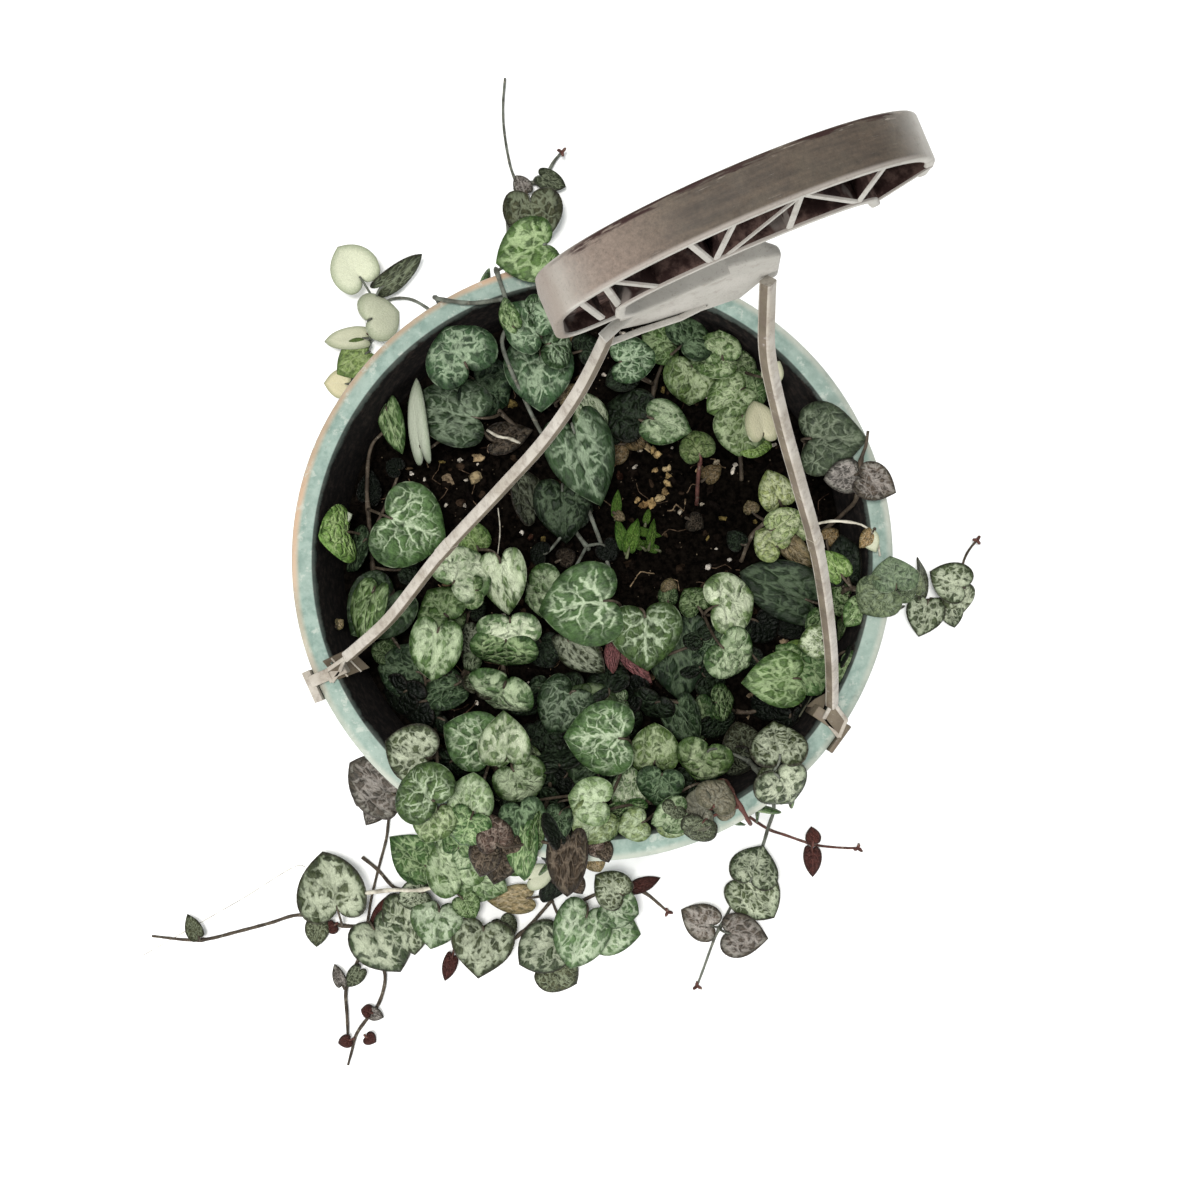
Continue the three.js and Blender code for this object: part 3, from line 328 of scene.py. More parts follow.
# A grain is pale if its red is above this. Then ranges: a pale grain's half length, another's and
# what multiplies that, the breadth and height as shares of it, the tilt, the shade and the lift
PALE_GRAIN = 0.6
PALE_LENGTH = (0.45, 0.9)
GRAIN_LENGTH = (0.5, 1.7)
GRAIN_SPREAD = (0.6, 1.2)
GRAIN_BREADTH = (0.45, 0.9)
GRAIN_HEIGHT = (0.35, 0.7)
GRAIN_TILT = (-0.5, 0.5)
GRAIN_SHADE = (0.7, 1.3)
GRAIN_LIFT = (-0.1, 0.5)
GRAIN_EDGE = 1.6
GRAIN_ROUGH = 0.7
GRAIN_BRIGHTEST = 0.8
ONE_TURN = 6.28
FIBRES = 70
FIBRE_SIDES = 4
FIBRE_BENDS = 4
FIBRE_STEPS = 8
FIBRE_LENGTH = (3, 11)
FIBRE_RADIUS = (0.09, 0.22)
FIBRE_LIFT = (0.1, 0.9)
FIBRE_TURN = (-25, 25)
FIBRE_EDGE = 6
FIBRE_TINTS = [(0.110, 0.080, 0.055), (0.260, 0.200, 0.130), (0.060, 0.040, 0.030)]
# A stone's breadth and height as shares of its length
PEBBLE_SHARES = (0.75, 0.6)
PEBBLE_ROUGH = 0.8
# Pale stones and grains on the soil: pixel x, y, half length and tint
PEBBLES = [
    (647, 446, 1.2, (0.520, 0.420, 0.240)), (653, 449, 1.0, (0.420, 0.320, 0.150)),
    (658, 455, 1.3, (0.520, 0.400, 0.200)), (663, 461, 1.0, (0.360, 0.270, 0.130)),
    (667, 468, 1.2, (0.560, 0.460, 0.270)), (669, 476, 1.0, (0.420, 0.320, 0.150)),
    (668, 484, 1.3, (0.520, 0.400, 0.200)), (665, 492, 1.1, (0.300, 0.220, 0.110)),
    (659, 498, 1.2, (0.520, 0.420, 0.240)), (651, 503, 1.3, (0.420, 0.300, 0.140)),
    (643, 505, 1.1, (0.360, 0.240, 0.110)), (637, 500, 0.9, (0.480, 0.360, 0.180)),
    (622, 448, 1.3, (0.480, 0.380, 0.200)), (630, 443, 1.0, (0.520, 0.420, 0.240)),
    (614, 462, 1.1, (0.360, 0.270, 0.150)), (640, 438, 1.0, (0.420, 0.320, 0.170)),
    (609, 450, 1.0, (0.420, 0.320, 0.170)), (655, 470, 0.8, (0.300, 0.220, 0.110)),
    (575, 395, 1.4, (0.360, 0.270, 0.150)), (583, 405, 1.0, (0.520, 0.420, 0.300)),
    (700, 470, 1.0, (0.420, 0.320, 0.190)), (716, 462, 0.8, (0.620, 0.560, 0.420)),
    (478, 458, 1.5, (0.420, 0.330, 0.200)), (475, 478, 1.8, (0.300, 0.250, 0.150)),
    (515, 434, 1.4, (0.460, 0.400, 0.300)), (490, 448, 1.2, (0.300, 0.240, 0.180)),
    (460, 460, 0.7, (0.700, 0.680, 0.600)), (466, 480, 0.6, (0.700, 0.680, 0.600)),
    (464, 505, 0.7, (0.700, 0.680, 0.600)), (446, 505, 0.6, (0.700, 0.680, 0.600)),
    (521, 533, 0.8, (0.760, 0.750, 0.700)), (708, 567, 0.9, (0.760, 0.750, 0.700)),
    (640, 450, 0.7, (0.600, 0.540, 0.420)), (680, 512, 0.7, (0.620, 0.580, 0.480)),
    (702, 504, 0.6, (0.620, 0.580, 0.480)), (411, 473, 0.7, (0.760, 0.750, 0.700)),
    (440, 660, 0.7, (0.760, 0.750, 0.700)), (730, 560, 0.6, (0.700, 0.690, 0.640)),
]

# Small leaves and buds: pixel x, y of the foot, pixel x, y of the end, width, height and look
BUDS = [
    (526, 192, 516, 175, 5, 4, "b"), (668, 602, 668, 580, 5, 95, "g"), (592, 708, 600, 697, 4.5, 97, "g"),
    (370, 1012, 360, 1010, 4, 3, "r"), (370, 1012, 383, 1018, 4, 3, "b"),
    (367, 1037, 376, 1043, 4, 3, "r"), (350, 1040, 338, 1044, 4, 3, "r"), (375, 922, 386, 896, 4, 3, "r"),
    (335, 925, 327, 932, 4, 3, "r"), (813, 842, 812, 827, 4.6, 4, "r"), (634, 888, 660, 878, 4.5, 5, "r"),
    (452, 957, 445, 981, 4.5, 3, "r"), (695, 708, 703, 740, 5, 94, "g"), (342, 984, 334, 965, 4, 3, "b"),
    (616, 513, 618, 490, 2.4, 94, "z"), (624, 546, 617, 517, 3, 94, "z"),
    (629, 549, 637, 519, 3.6, 95, "z"), (641, 546, 624, 531, 2.6, 94, "z"),
    (650, 543, 655, 519, 2.2, 95, "z"), (638, 530, 661, 537, 2.2, 94, "z"),
    (646, 522, 649, 509, 1.8, 96, "z"), (655, 549, 636, 541, 2.4, 93, "z"),
    (616, 514, 625, 520, 2.6, 96, "t"), (612, 456, 628, 440, 6, 92, "t"), (630, 437, 645, 447, 5, 92, "t"),
    (706, 478, 721, 466, 4.5, 92, "t"), (560, 399, 579, 386, 5.5, 93, "t"),
    (548, 388, 560, 376, 4.5, 94, "y"), (872, 533, 861, 548, 4.2, 113, "t"),
    (868, 534, 876, 552, 4, 112.5, "p"), (668, 592, 672, 578, 4, 95, "t"),
    (662, 598, 676, 602, 4, 94, "m"), (343, 518, 352, 514, 3, 100, "p"), (336, 626, 343, 620, 3, 101, "t"),
    (598, 448, 614, 462, 5, 92, "y"), (690, 520, 704, 528, 5, 92, "y"), (560, 560, 575, 552, 5, 92, "y"),
    (366, 792, 357, 806, 5, 83, "b"), (378, 804, 366, 822, 4.2, 82, "b"),
    (602, 844, 610, 862, 4.5, 111.5, "y"), (592, 840, 598, 858, 5, 112, "x"),
    (574, 878, 582, 894, 5, 110.5, "y"),
]
# Tints of their stalks by look; the others are brown
BUD_STALKS = {"z": "green", "r": "red"}
# A bud's roll, how far behind it its stalk starts, as a share of its length, how far below it, and
# the lowest that it starts in the pot
BUD_ROLL = (-20, 20)
BUD_BEHIND = 0.3
BUD_DROP = 0.8
BUD_LOWEST = SOIL_TOP + 2
# Buds at the ends of stems: pixel x, y and height
TIP_BUDS = [
    (562, 152, 4), (697, 986, 3), (858, 848, 4), (977, 540, 4), (668, 912, 4), (505, 950, 4), (372, 333, 4),
]
# Such a bud's scales: half size, how many, and how they turn, tilt and spread
TIP_BUD_SIZE = Vector((1.2, 0.55, 0.5))
TIP_BUD_SCALES = 3
TIP_BUD_TURN = 2.1
TIP_BUD_TILT = -0.5
TIP_BUD_SPREAD = 0.7
TIP_BUD_LOWEST = 1.4
# Fine threads: tint, radius, and points as pixel x, y and height
THREADS = [
    ("straw", 0.33, [
        (815, 524, 108), (835, 521, 112), (862, 525, 113.5), (872, 533, 113), (877, 541, 112),
        (880, 556, 111),
    ]),
    ("straw", 0.42, [(487, 430, 92), (500, 437, 93), (508, 438, 93), (520, 443, 91.5)]),
    ("straw", 0.6, [(366, 893, 10), (392, 890, 13), (420, 890, 14), (448, 883, 14)]),
    ("tan", 0.25, [(612, 470, 90.5), (618, 455, 91.5), (634, 442, 91), (650, 452, 90.5)]),
    ("straw", 0.11, [(305, 867, 3), (300, 865, 3), (240, 900, 1.5), (135, 960, 0.6)]),
    ("straw", 0.16, [(498, 508, 92), (500, 530, 93), (497, 560, 92)]),
]
THREAD_UNEVEN = (0.8, 1.25)
THREAD_TINTS = {"straw": (0.720, 0.680, 0.560), "tan": (0.480, 0.360, 0.190)}

# Hanger: the hook's own plane, across to its right end and out to the front
ACROSS = Vector((0.92, 0.39, 0)).normalized()
FRONT = Vector((ACROSS.y, -ACROSS.x, 0))
HOOK_PLACE = Vector((14.5, 42.8, HUB_TOP))
FLANGE_WIDTH = 7.6
FLANGE_THICK = 1.6
WEB_THICK = 1.8
WEB_SHARES = (0.05, 0.3, 0.7, 0.95)
HOOK_STATIONS = 126
# The arch's outer and inner edge: middle, half its breadth and half its height
HOOK_OUTER = ((7.9, 15), 30.5, 21.6)
HOOK_INNER = ((7.9, 14), 19.5, 6.9)
# The hook's outer and inner edge, across and up: its start in the hub, the bend, the arch, the tip
HOOK_EDGES = [
    ((6, -3), [(-16, -3), (-22.6, -3), (-22.6, 5)], HOOK_OUTER, (38.4, 10)),
    ((6, 4), [(-7, 4), (-11.6, 4), (-11.6, 9)], HOOK_INNER, (28.5, 10)),
]
ARCH_STEPS = 80
BEND_STEPS = 16
INNER_PROUD = 1.5
RIB_THICK = 1.2
# How deep a rib's head goes into the flange, as a share, and how far the rib stays back from the
# flanges' edges: behind, at its foot and at its head
RIB_BITE = 0.7
RIB_SHY = (0.6, 0.1, 0.15)
# Each rib: where it meets the outer flange, across the hook, and its inner end, across and up
RIBS = [
    (-18.2, -15.4, 12), (-14.3, -12.0, 11), (-13.0, -6.4, 19.2), (-1.8, 1.8, 21.0), (4.8, 2.4, 21.1),
    (14.6, 3.8, 21.2), (14.8, 13.9, 21.1), (15.2, 26.0, 17.2), (28.0, 25.0, 17.9),
]
# The end of the hook is closed by a rib this many stations from its tip
LAST_RIB = 6
# The hook's second material, and the side of a soft box that faces up
HOLLOW = 1
UPPER_SIDE = 3
# The hub's lower and upper outline, and a strand from the left arm's head to the hub's lower edge
HUB_FOOT = [(4.6, 34.6), (18.5, 37.6), (25.2, 39.9), (28.2, 42.4), (31.3, 43.6), (31.5, 46), (13, 53)]
HUB_HEAD = [(5.2, 35.0), (18.3, 40.8), (22.6, 42.3), (27, 43.4), (30.5, 43.9), (29.8, 45.6), (13.5, 51)]
HUB_MIDDLE = (16, 45)
GUSSET = [seen(607, 344, 255), seen(640, 331, 257), seen(680, 318, 258.5), seen(706, 305, 259.5)]
GUSSET_HALVES = (0.55, 0.5)
# How round the edges are: of the flanges, lugs, gusset and hub, of the clips and of the thin webs
FLANGE_CORNER = 0.45
LUG_CORNER = 0.6
GUSSET_CORNER = 0.2
HUB_EDGE = 0.7
CLIP_EDGE = 0.25
WEB_EDGE = 0.15
ROD_CORNER_SHARE = 0.25
ROD_STEPS = 6
BOX_STEPS = 3
# The least angle of an edge that gets rounded
SHARP = 0.5
ARM_SIDE = 2.6
ARM_STEPS = 90
ARM_CORNER = 0.45
# How thick each arm is at its foot and at its head, and which side of it is brown with grime and painted
# shade
ARM_TAPERS = {"left": (1.0, 0.70), "right": (0.96, 0.86), "back": (1.0, 0.85)}
ARM_GRIME_AND_SHADE_SIDES = {"left": (15,), "right": (7,), "back": ()}
ARM_PATHS = {
    "left": [
        seen(348, 656, 124), seen(362, 644, 132), seen(390, 618, 147), seen(440, 555, 174),
        seen(500, 490, 203), seen(545, 440, 223), seen(580, 390, 241), seen(604, 343, 256),
        seen(608, 333, 264),
    ],
    "right": [
        seen(832, 704, 119), seen(832, 680, 132), seen(830, 640, 155), seen(817, 550, 195),
        seen(798, 480, 218), seen(779, 410, 236), seen(767, 350, 250), seen(767, 305, 258),
        seen(768, 281, 262),
    ],
    "back": [
        Vector((6.1, 70, 118)), Vector((7, 71.5, 135)), Vector((8.5, 70.5, 165)),
        Vector((10.5, 66, 200)), Vector((12.4, 57.5, 238)), Vector((13, 50.5, 264)),
    ],
}
# A moulding nub: its first station, its stations, and how much thicker than the arm it is
NUB_AT = 34
NUB_LONG = 3
NUB_SCALE = 1.1
# The lugs that carry the arms' heads on the hub
LUG_SIDES = {"left": 1.9, "back": 2.4}
LUG_REACH = 0.35
LUG_STEPS = 5
# The kite-shaped frame of each arm's foot, over the rim: its head, outer, lower and inner corners
KITES = {
    "left": [seen(345, 658, 121), seen(326, 671, 111.4), seen(332, 682, 111), seen(340, 671, 111)],
    "right": [seen(833, 702, 118), seen(846, 720, 111.4), seen(839, 737, 111), seen(824, 718, 111)],
    "back": [around(85, 71, 118), around(83.5, 75, 111), around(85, 72, 110.8), around(86.5, 69.5, 111)],
}
KITE_SIDE = 1.0
KITE_WEB = 0.5
# The clips' brown wings inside the rim, corner by corner, and the shares where ribs cross them
WINGS = {
    "left": [seen(323, 662, 111), seen(350, 649, 109), seen(370, 668, 104), seen(338, 680, 110.6)],
    "right": [seen(829, 692, 109), seen(814, 700, 106), seen(806, 707, 104), seen(823, 709, 109)],
    "back": [around(81, 69, 110.5), around(82, 66, 107), around(88, 66, 107), around(89, 69, 110.5)],
}
WING_THICK = 0.7
WING_RIB = 0.45
WING_RIBS = {"left": (0.30, 0.72), "right": (), "back": (0.5,)}
# Each clip: a narrow bridge over the lip and a broad outer tab, which sits a little to one side
CLIP_WIDTH = 8.2
CLIP_THICK = 1.2
CLIP_GAP = 0.1
# How far its inner leg leans out at the top, its barb under the skirt, its tab and its chamfers
CLIP_LEAN = 1.1
BARB = (1.2, 0.2, 3)
TAB_DROP = 1.5
CHAMFER = 0.5
BRIDGE_HALF = 1.5
CLIP_AZIMUTHS = {"left": 203.4, "right": 326, "back": 85}
TAB_AZIMUTHS = {"left": 204.3, "right": 324.2, "back": 85}
TAB_THICKS = {"left": 2.2, "right": 1.3, "back": 1.3}
# The clip that the photograph shows brown
DARK_CLIP = "right"
# Plastic: the arms' clean and shaded tints with their share of grime, then the wings'
ARM_PLASTIC = ((0.560, 0.520, 0.452), (0.440, 0.395, 0.325), 0.42)
WING_PLASTIC = ((0.200, 0.163, 0.112), (0.125, 0.100, 0.066), 0.5)
SMEAR = (0.150, 0.110, 0.088)
SPECK = (0.085, 0.062, 0.050)
SCRATCH = (0.640, 0.600, 0.560)
# The hook's plastic, shaded and clean, with its smears and specks; the dust on its top from dark to
# light, its patches and its pinker part to the left; scuffs, the worn edge, flakes and scrapes
# behind, the left end's tan, and the dirt and painted shade in the hollows
HOOK_PLASTIC = ((0.480, 0.460, 0.410), (0.570, 0.545, 0.490))
HOOK_SMEAR = (0.240, 0.190, 0.155)
HOOK_SPECK = (0.070, 0.050, 0.040)
DUST = ((0.036, 0.024, 0.016), (0.086, 0.059, 0.039))
DUST_PATCH = (0.108, 0.084, 0.056)
PINK_DUST = (0.265, 0.200, 0.162)
SCUFF = (0.300, 0.270, 0.240)
WORN_EDGE = (0.420, 0.380, 0.340)
FLAKE = (0.040, 0.020, 0.018)
SCRAPE = (0.380, 0.330, 0.280)
LEFT_END = (0.290, 0.240, 0.200)
HOLLOW_DIRT_AND_SHADE = ((0.030, 0.015, 0.013), (0.130, 0.082, 0.068))
PALE_DIRT = (0.330, 0.290, 0.255)

# The vines, read off the photograph, as in the solids. A stem's points are pixel x, pixel y
# and height. Its "inside" points are in the pot; "drape" is the azimuth where it hangs over the
# rim, "skip" the points of DRAPE that it leaves out, "pairs" the heights of its hanging leaves;
# "floor" points lie on the surface. A stem with only "inside" points, and each first one, is rooted
# in the soil. "tint" is one of STEM_TINTS, and brown if it isn't given. A leaf's row is pixel x, y
# of the notch, pixel x, y of the tip, width, height of the blade, its look, and its roll in degrees
# if it has one. The look is a letter of LOOKS, with + where the tip points up and - where the leaf
# is darker than its kind.
# A look with a minus paints the leaf darker than its kind, as shade
VINES = {
    "vine_upper_left": {
        "stems": [
            {"inside": [(520, 430, 91.5), (500, 412, 92), (480, 392, 92.5), (462, 378, 93)]},
        ],
        "leaves": [
            (468, 368, 440, 318, 18, 114.5, "a"), (478, 418, 408, 402, 17, 99, "a-"),
            (474, 380, 508, 404, 15, 95, "d"), (421, 452, 409, 380, 6.4, 101, "p", -38),
            (492, 442, 532, 430, 8, 91.5, "y"),
        ],
    },
    "vine_top": {
        "tint": "grey",
        "stems": [
            {
                "inside": [
                    (612, 585, 91.5), (608, 565, 92), (596, 530, 93), (580, 492, 94), (560, 462, 94.5),
                    (537, 425, 96), (524, 398, 98), (511, 370, 101), (502, 340, 104),
                ],
                "drape": 108.3, "pairs": [80, 42],
                "floor": [
                    (508, 240), (508, 215), (514, 200), (516, 185), (510, 165), (504, 130), (503, 105),
                    (505, 78),
                ],
            },
            {
                "inside": [(506, 299, 110.2), (470, 303, 111.6)],
                "drape": 120.7, "skip": 3, "pairs": [60],
                "floor": [(410, 299), (384, 303), (372, 335), (362, 366), (350, 382)],
            },
            {"floor": [(514, 190), (524, 183), (540, 182), (555, 160), (562, 152)]},
        ],
        "leaves": [
            (548, 243, 497, 262, 15, 113.5, "g"), (530, 197, 535, 248, 17, 8, "o"),
            (540, 176, 565, 186, 6, 4, "o"), (362, 280, 337, 246, 13, 8, "p"),
            (380, 288, 423, 258, 8, 7, "o", 50), (371, 322, 400, 309, 14, 4, "p"),
            (366, 338, 325, 339, 8, 5, "p", 30), (368, 352, 337, 373, 11, 6, "q"),
            (347, 384, 324, 383, 8, 4, "p"),
        ],
    },
    "vine_left": {
        "stems": [
            {
                "inside": [
                    (382, 628, 91.5), (376, 590, 92), (372, 560, 92.5), (369, 522, 94), (367, 485, 95),
                    (372, 445, 96), (388, 428, 97),
                ],
            },
        ],
        "leaves": [
            (347, 531, 327, 535, 13.5, 105, "f+"), (366, 540, 344, 570, 12, 97, "d", 55),
            (388, 517, 446, 541, 20, 103, "n"), (394, 592, 352, 634, 17, 97, "d"),
            (386, 406, 399, 453, 6.5, 99, "g", 25), (374, 588, 357, 643, 11, 104, "g", 40),
            (368, 500, 372, 470, 6, 93, "k", 20), (400, 470, 386, 462, 5, 92.5, "k"),
            (398, 645, 382, 664, 6.5, 94, "g"), (400, 570, 420, 560, 8, 93.5, "v"),
        ],
    },
    "vine_middle_left": {
        "stems": [
            {
                "inside": [
                    (468, 672, 91.5), (462, 650, 92), (466, 622, 92), (474, 596, 92.5), (480, 566, 93),
                    (474, 550, 94),
                ],
            },
            {"inside": [(505, 690, 91.5), (503, 660, 93), (506, 625, 94)]},
        ],
        "leaves": [
            (478, 548, 462, 520, 8, 97, "f"), (453, 584, 480, 551, 15, 104, "w"),
            (500, 558, 506, 614, 12, 103, "w", 18), (511, 619, 510, 654, 14.8, 104, "w"),
            (507, 638, 503, 673, 15.8, 99, "g"), (447, 616, 424, 588, 12.5, 100, "g"),
            (442, 622, 466, 607, 9, 97, "g"), (438, 628, 431, 680, 12, 104.5, "s"),
            (458, 684, 418, 700, 11, 98, "d", 35), (478, 690, 486, 673, 9, 97, "o"),
            (506, 684, 490, 716, 16.5, 100, "s"), (478, 590, 456, 596, 8, 105, "j", 20),
            (462, 632, 482, 650, 7, 95, "e"), (476, 655, 462, 668, 6, 94, "s", 30),
            (432, 712, 420, 704, 7, 95.5, "g"), (520, 700, 536, 716, 8, 95, "v", 20),
            (540, 640, 552, 668, 9, 94, "v"), (470, 612, 486, 602, 6, 94.5, "v"),
        ],
    },
    "vine_centre": {
        "stems": [
            {"inside": [(628, 700, 91.5), (622, 675, 92), (621, 645, 94), (622, 615, 97)]},
        ],
        "leaves": [
            (610, 600, 540, 611, 19.5, 106, "n"), (645, 612, 648, 670, 17, 106, "n-"),
            (566, 638, 600, 676, 12, 97, "e", 35), (674, 626, 682, 700, 16, 96, "d"),
            (622, 650, 648, 686, 7, 98, "m", 50), (614, 645, 612, 673, 4.5, 98, "m", 40),
            (648, 690, 628, 706, 10, 95, "k"), (580, 640, 560, 650, 7, 96, "s"),
            (702, 640, 688, 622, 8, 97, "v"),
        ],
    },
    "vine_centre_back": {
        "tint": "grey",
        "stems": [
            {
                "inside": [
                    (588, 548, 91.5), (575, 530, 92), (565, 505, 92.5), (572, 470, 93), (580, 440, 94),
                ],
            },
        ],
        "leaves": [
            (572, 426, 600, 503, 16.5, 100, "a-"), (592, 426, 586, 391, 9, 97, "w", 30),
            (562, 486, 566, 542, 14, 95, "d-"), (536, 514, 520, 468, 10, 94, "o-", 20),
            (560, 588, 522, 602, 14, 99, "s"), (572, 520, 590, 498, 7, 93.5, "v"),
            (545, 555, 530, 548, 6, 93, "k"), (604, 545, 616, 560, 6, 93, "k"),
        ],
    },
    "vine_upper": {
        "stems": [
            {"inside": [(556, 404, 91.5), (552, 385, 92), (545, 360, 93), (535, 335, 94)]},
        ],
        "leaves": [
            (540, 336, 506, 304, 12, 112, "a"), (548, 346, 578, 340, 13, 104, "a"),
            (540, 350, 541, 410, 16.5, 99, "a"), (580, 352, 602, 340, 8, 96, "v"),
            (514, 328, 499, 300, 7, 114, "g", -50), (530, 314, 548, 306, 8, 111, "a", 20),
        ],
    },
    "vine_upper_middle": {
        "stems": [
            {"inside": [(655, 440, 91.5), (652, 410, 92), (655, 385, 92.5), (664, 360, 93)]},
        ],
        "leaves": [
            (618, 362, 658, 356, 11, 101, "a"), (676, 345, 642, 334, 11, 99, "g"),
            (680, 348, 703, 322, 12, 103, "d"), (692, 364, 690, 405, 13, 98.5, "j"),
            (650, 418, 691, 430, 11, 100, "s"), (642, 422, 606, 402, 13, 94, "v"),
            (632, 372, 606, 384, 7, 97, "v"), (612, 444, 604, 428, 5, 93, "v"),
        ],
    },
    "shoot_upper_right": {
        "tint": "red",
        "stems": [
            {"inside": [(697, 503, 91.5), (698, 480, 94), (700, 462, 97)]},
        ],
        "leaves": [
            (700, 456, 690, 430, 8.6, 98, "q"),
        ],
    },
    "vine_upper_right": {
        "stems": [
            {
                "inside": [
                    (742, 478, 91.5), (740, 450, 92), (738, 420, 93), (735, 392, 93), (733, 368, 94),
                ],
            },
        ],
        "leaves": [
            (722, 358, 720, 328, 9, 104, "j"), (728, 352, 692, 362, 10.5, 103, "j"),
            (732, 372, 752, 350, 9, 100, "j"), (745, 400, 754, 366, 9, 101, "g"),
            (744, 388, 708, 410, 10, 103, "j", 10), (742, 414, 740, 456, 13.5, 101, "j"),
            (744, 440, 772, 446, 7, 99, "f"), (764, 436, 756, 401, 8.5, 105, "p", 30),
            (770, 378, 780, 361, 5, 111.5, "p"),
        ],
    },
    "shoot_right": {
        "stems": [
            {"inside": [(800, 470, 91.5), (803, 455, 98), (806, 442, 105)]},
        ],
        "leaves": [
            (808, 437, 857, 439, 17, 112, "u+"),
        ],
    },
    "vine_right_tendril": {
        "stems": [
            {
                "inside": [
                    (824, 530, 91.5), (845, 512, 98), (857, 496, 111.5), (860, 478, 112),
                    (861, 460, 113), (866, 445, 114), (868, 431, 115),
                ],
            },
        ],
        "leaves": [
            (857, 475, 825, 479, 7.6, 113, "b"), (862, 478, 896, 492, 8.8, 114, "b"),
        ],
    },
    "vine_middle_right": {
        "stems": [
            {"inside": [(742, 560, 91.5), (752, 535, 92.5), (768, 520, 94), (785, 505, 95)]},
        ],
        "leaves": [
            (780, 503, 768, 470, 9, 101, "C"), (773, 530, 801, 512, 8, 102, "C"),
            (778, 548, 756, 530, 9, 100, "C"), (786, 541, 810, 569, 6.5, 97, "t", 30),
            (792, 520, 806, 540, 6, 98, "C", 20), (752, 512, 748, 500, 4, 95, "t"),
            (742, 545, 728, 532, 5, 93, "v"),
        ],
    },
    "vine_right_centre": {
        "stems": [
            {"inside": [(694, 650, 91.5), (700, 635, 93), (704, 615, 96)]},
        ],
        "leaves": [
            (714, 606, 757, 594, 15, 103, "w"), (720, 646, 752, 668, 13.2, 103, "s"),
            (699, 608, 684, 588, 8, 97, "g"), (716, 646, 700, 632, 8, 98, "d"),
            (732, 640, 752, 628, 6, 96, "v"), (700, 668, 688, 650, 9, 94, "v"),
            (704, 676, 726, 690, 9, 94, "v"), (756, 620, 776, 640, 9, 93, "k"),
            (694, 640, 706, 662, 8, 94, "d"),
        ],
    },
    "vine_right_inner": {
        "stems": [
            {"inside": [(820, 625, 91.5), (822, 612, 94), (822, 600, 95)]},
        ],
        "leaves": [
            (812, 602, 742, 573, 13.5, 97, "d-"), (824, 614, 812, 642, 7, 99, "g"),
            (824, 640, 799, 646, 7.5, 110, "w"), (800, 622, 778, 634, 7, 94, "k"),
        ],
    },
    "vine_right_trailing": {
        "stems": [
            {
                "inside": [(824, 598, 91.5), (838, 597, 95)],
                "drape": -6.3, "pairs": [80, 42],
                "floor": [
                    (905, 597), (925, 600), (945, 597), (958, 583), (964, 560), (969, 550, 3),
                    (977, 540, 3),
                ],
            },
        ],
        "leaves": [
            (895, 586, 892, 555, 10.3, 114, "h"), (884, 590, 862, 614, 11, 113, "h"),
            (899, 594, 918, 586, 5.5, 104, "h"), (848, 578, 842, 535, 11, 105, "k"),
            (842, 576, 826, 551, 6.5, 108, "f"), (850, 596, 832, 582, 6, 99, "g"),
            (922, 594, 922, 558, 9, 5.5, "o", 62), (928, 602, 920, 636, 10.8, 5, "e"),
            (964, 588, 931, 572, 11.5, 9, "e"), (957, 592, 967, 614, 9.5, 5, "e"),
            (950, 602, 955, 627, 7, 4, "e"), (906, 585, 920, 570, 9, 60, "h"),
            (862, 604, 846, 626, 6.5, 108, "g"), (838, 598, 846, 618, 6, 98, "g"),
            (846, 622, 848, 644, 5, 97, "g", 40), (826, 540, 838, 530, 4.5, 97, "t"),
        ],
    },
    "vine_lower_right": {
        "stems": [
            {"inside": [(738, 712, 91.5), (752, 712, 92), (775, 700, 93), (800, 690, 94)]},
        ],
        "leaves": [
            (798, 678, 743, 683, 13, 106, "g"), (800, 664, 834, 690, 10.5, 104, "g"),
            (842, 664, 862, 688, 9.5, 108, "g"), (794, 662, 777, 646, 6.5, 104.5, "g"),
            (714, 702, 737, 700, 9, 98, "g"), (678, 702, 694, 746, 11, 97, "d", 35),
            (694, 700, 702, 738, 8.5, 95, "g", 30), (790, 655, 822, 660, 8, 100, "f"),
            (850, 652, 856, 675, 5, 106, "k", 30), (800, 706, 824, 716, 10, 96, "k"),
            (770, 702, 752, 716, 8, 93.5, "k"), (656, 700, 644, 720, 11, 94, "v"),
            (712, 716, 726, 736, 9, 94, "v"), (748, 650, 736, 672, 9, 94, "v"),
            (790, 716, 774, 730, 9, 95, "k"), (640, 694, 622, 690, 9, 93, "k"),
        ],
    },
    "vine_front_right": {
        "tint": "grey",
        "stems": [
            {
                "inside": [(730, 750, 91.5), (740, 757, 95)],
                "drape": -52, "pairs": [84, 48],
                "floor": [
                    (774, 806), (768, 828, 3.3), (763, 845), (750, 880), (735, 900), (724, 920),
                    (716, 935), (703, 970), (697, 986),
                ],
            },
        ],
        "leaves": [
            (708, 748, 696, 784, 13, 103, "j"), (746, 752, 736, 722, 9.5, 97, "o-"),
            (750, 764, 724, 776, 10, 96.5, "o-"), (779, 757, 775, 719, 14, 113, "e"),
            (777, 774, 795, 808, 13, 113.5, "e"), (750, 880, 765, 846, 14, 9, "e"),
            (742, 880, 774, 918, 15, 4, "e"), (713, 926, 682, 911, 10.8, 5, "b"),
            (727, 933, 768, 940, 13.4, 5, "b"), (778, 776, 758, 790, 8, 112, "e"),
        ],
    },
    "runner_front_right": {
        "tint": "red",
        "stems": [
            {
                "inside": [(690, 775, 91.5), (700, 788, 97)],
                "drape": -59, "pairs": [66],
                "floor": [(768, 829, 1.2), (785, 835), (805, 842), (815, 845), (845, 848), (858, 848)],
            },
        ],
        "leaves": [
            (712, 806, 726, 780, 10, 113.5, "i"), (703, 820, 693, 842, 8.5, 113, "o"),
            (708, 808, 682, 808, 9.5, 112.2, "i"), (812, 850, 813, 877, 5.2, 3, "r"),
            (722, 808, 736, 816, 5, 112, "i"),
        ],
    },
    "vine_lower_middle": {
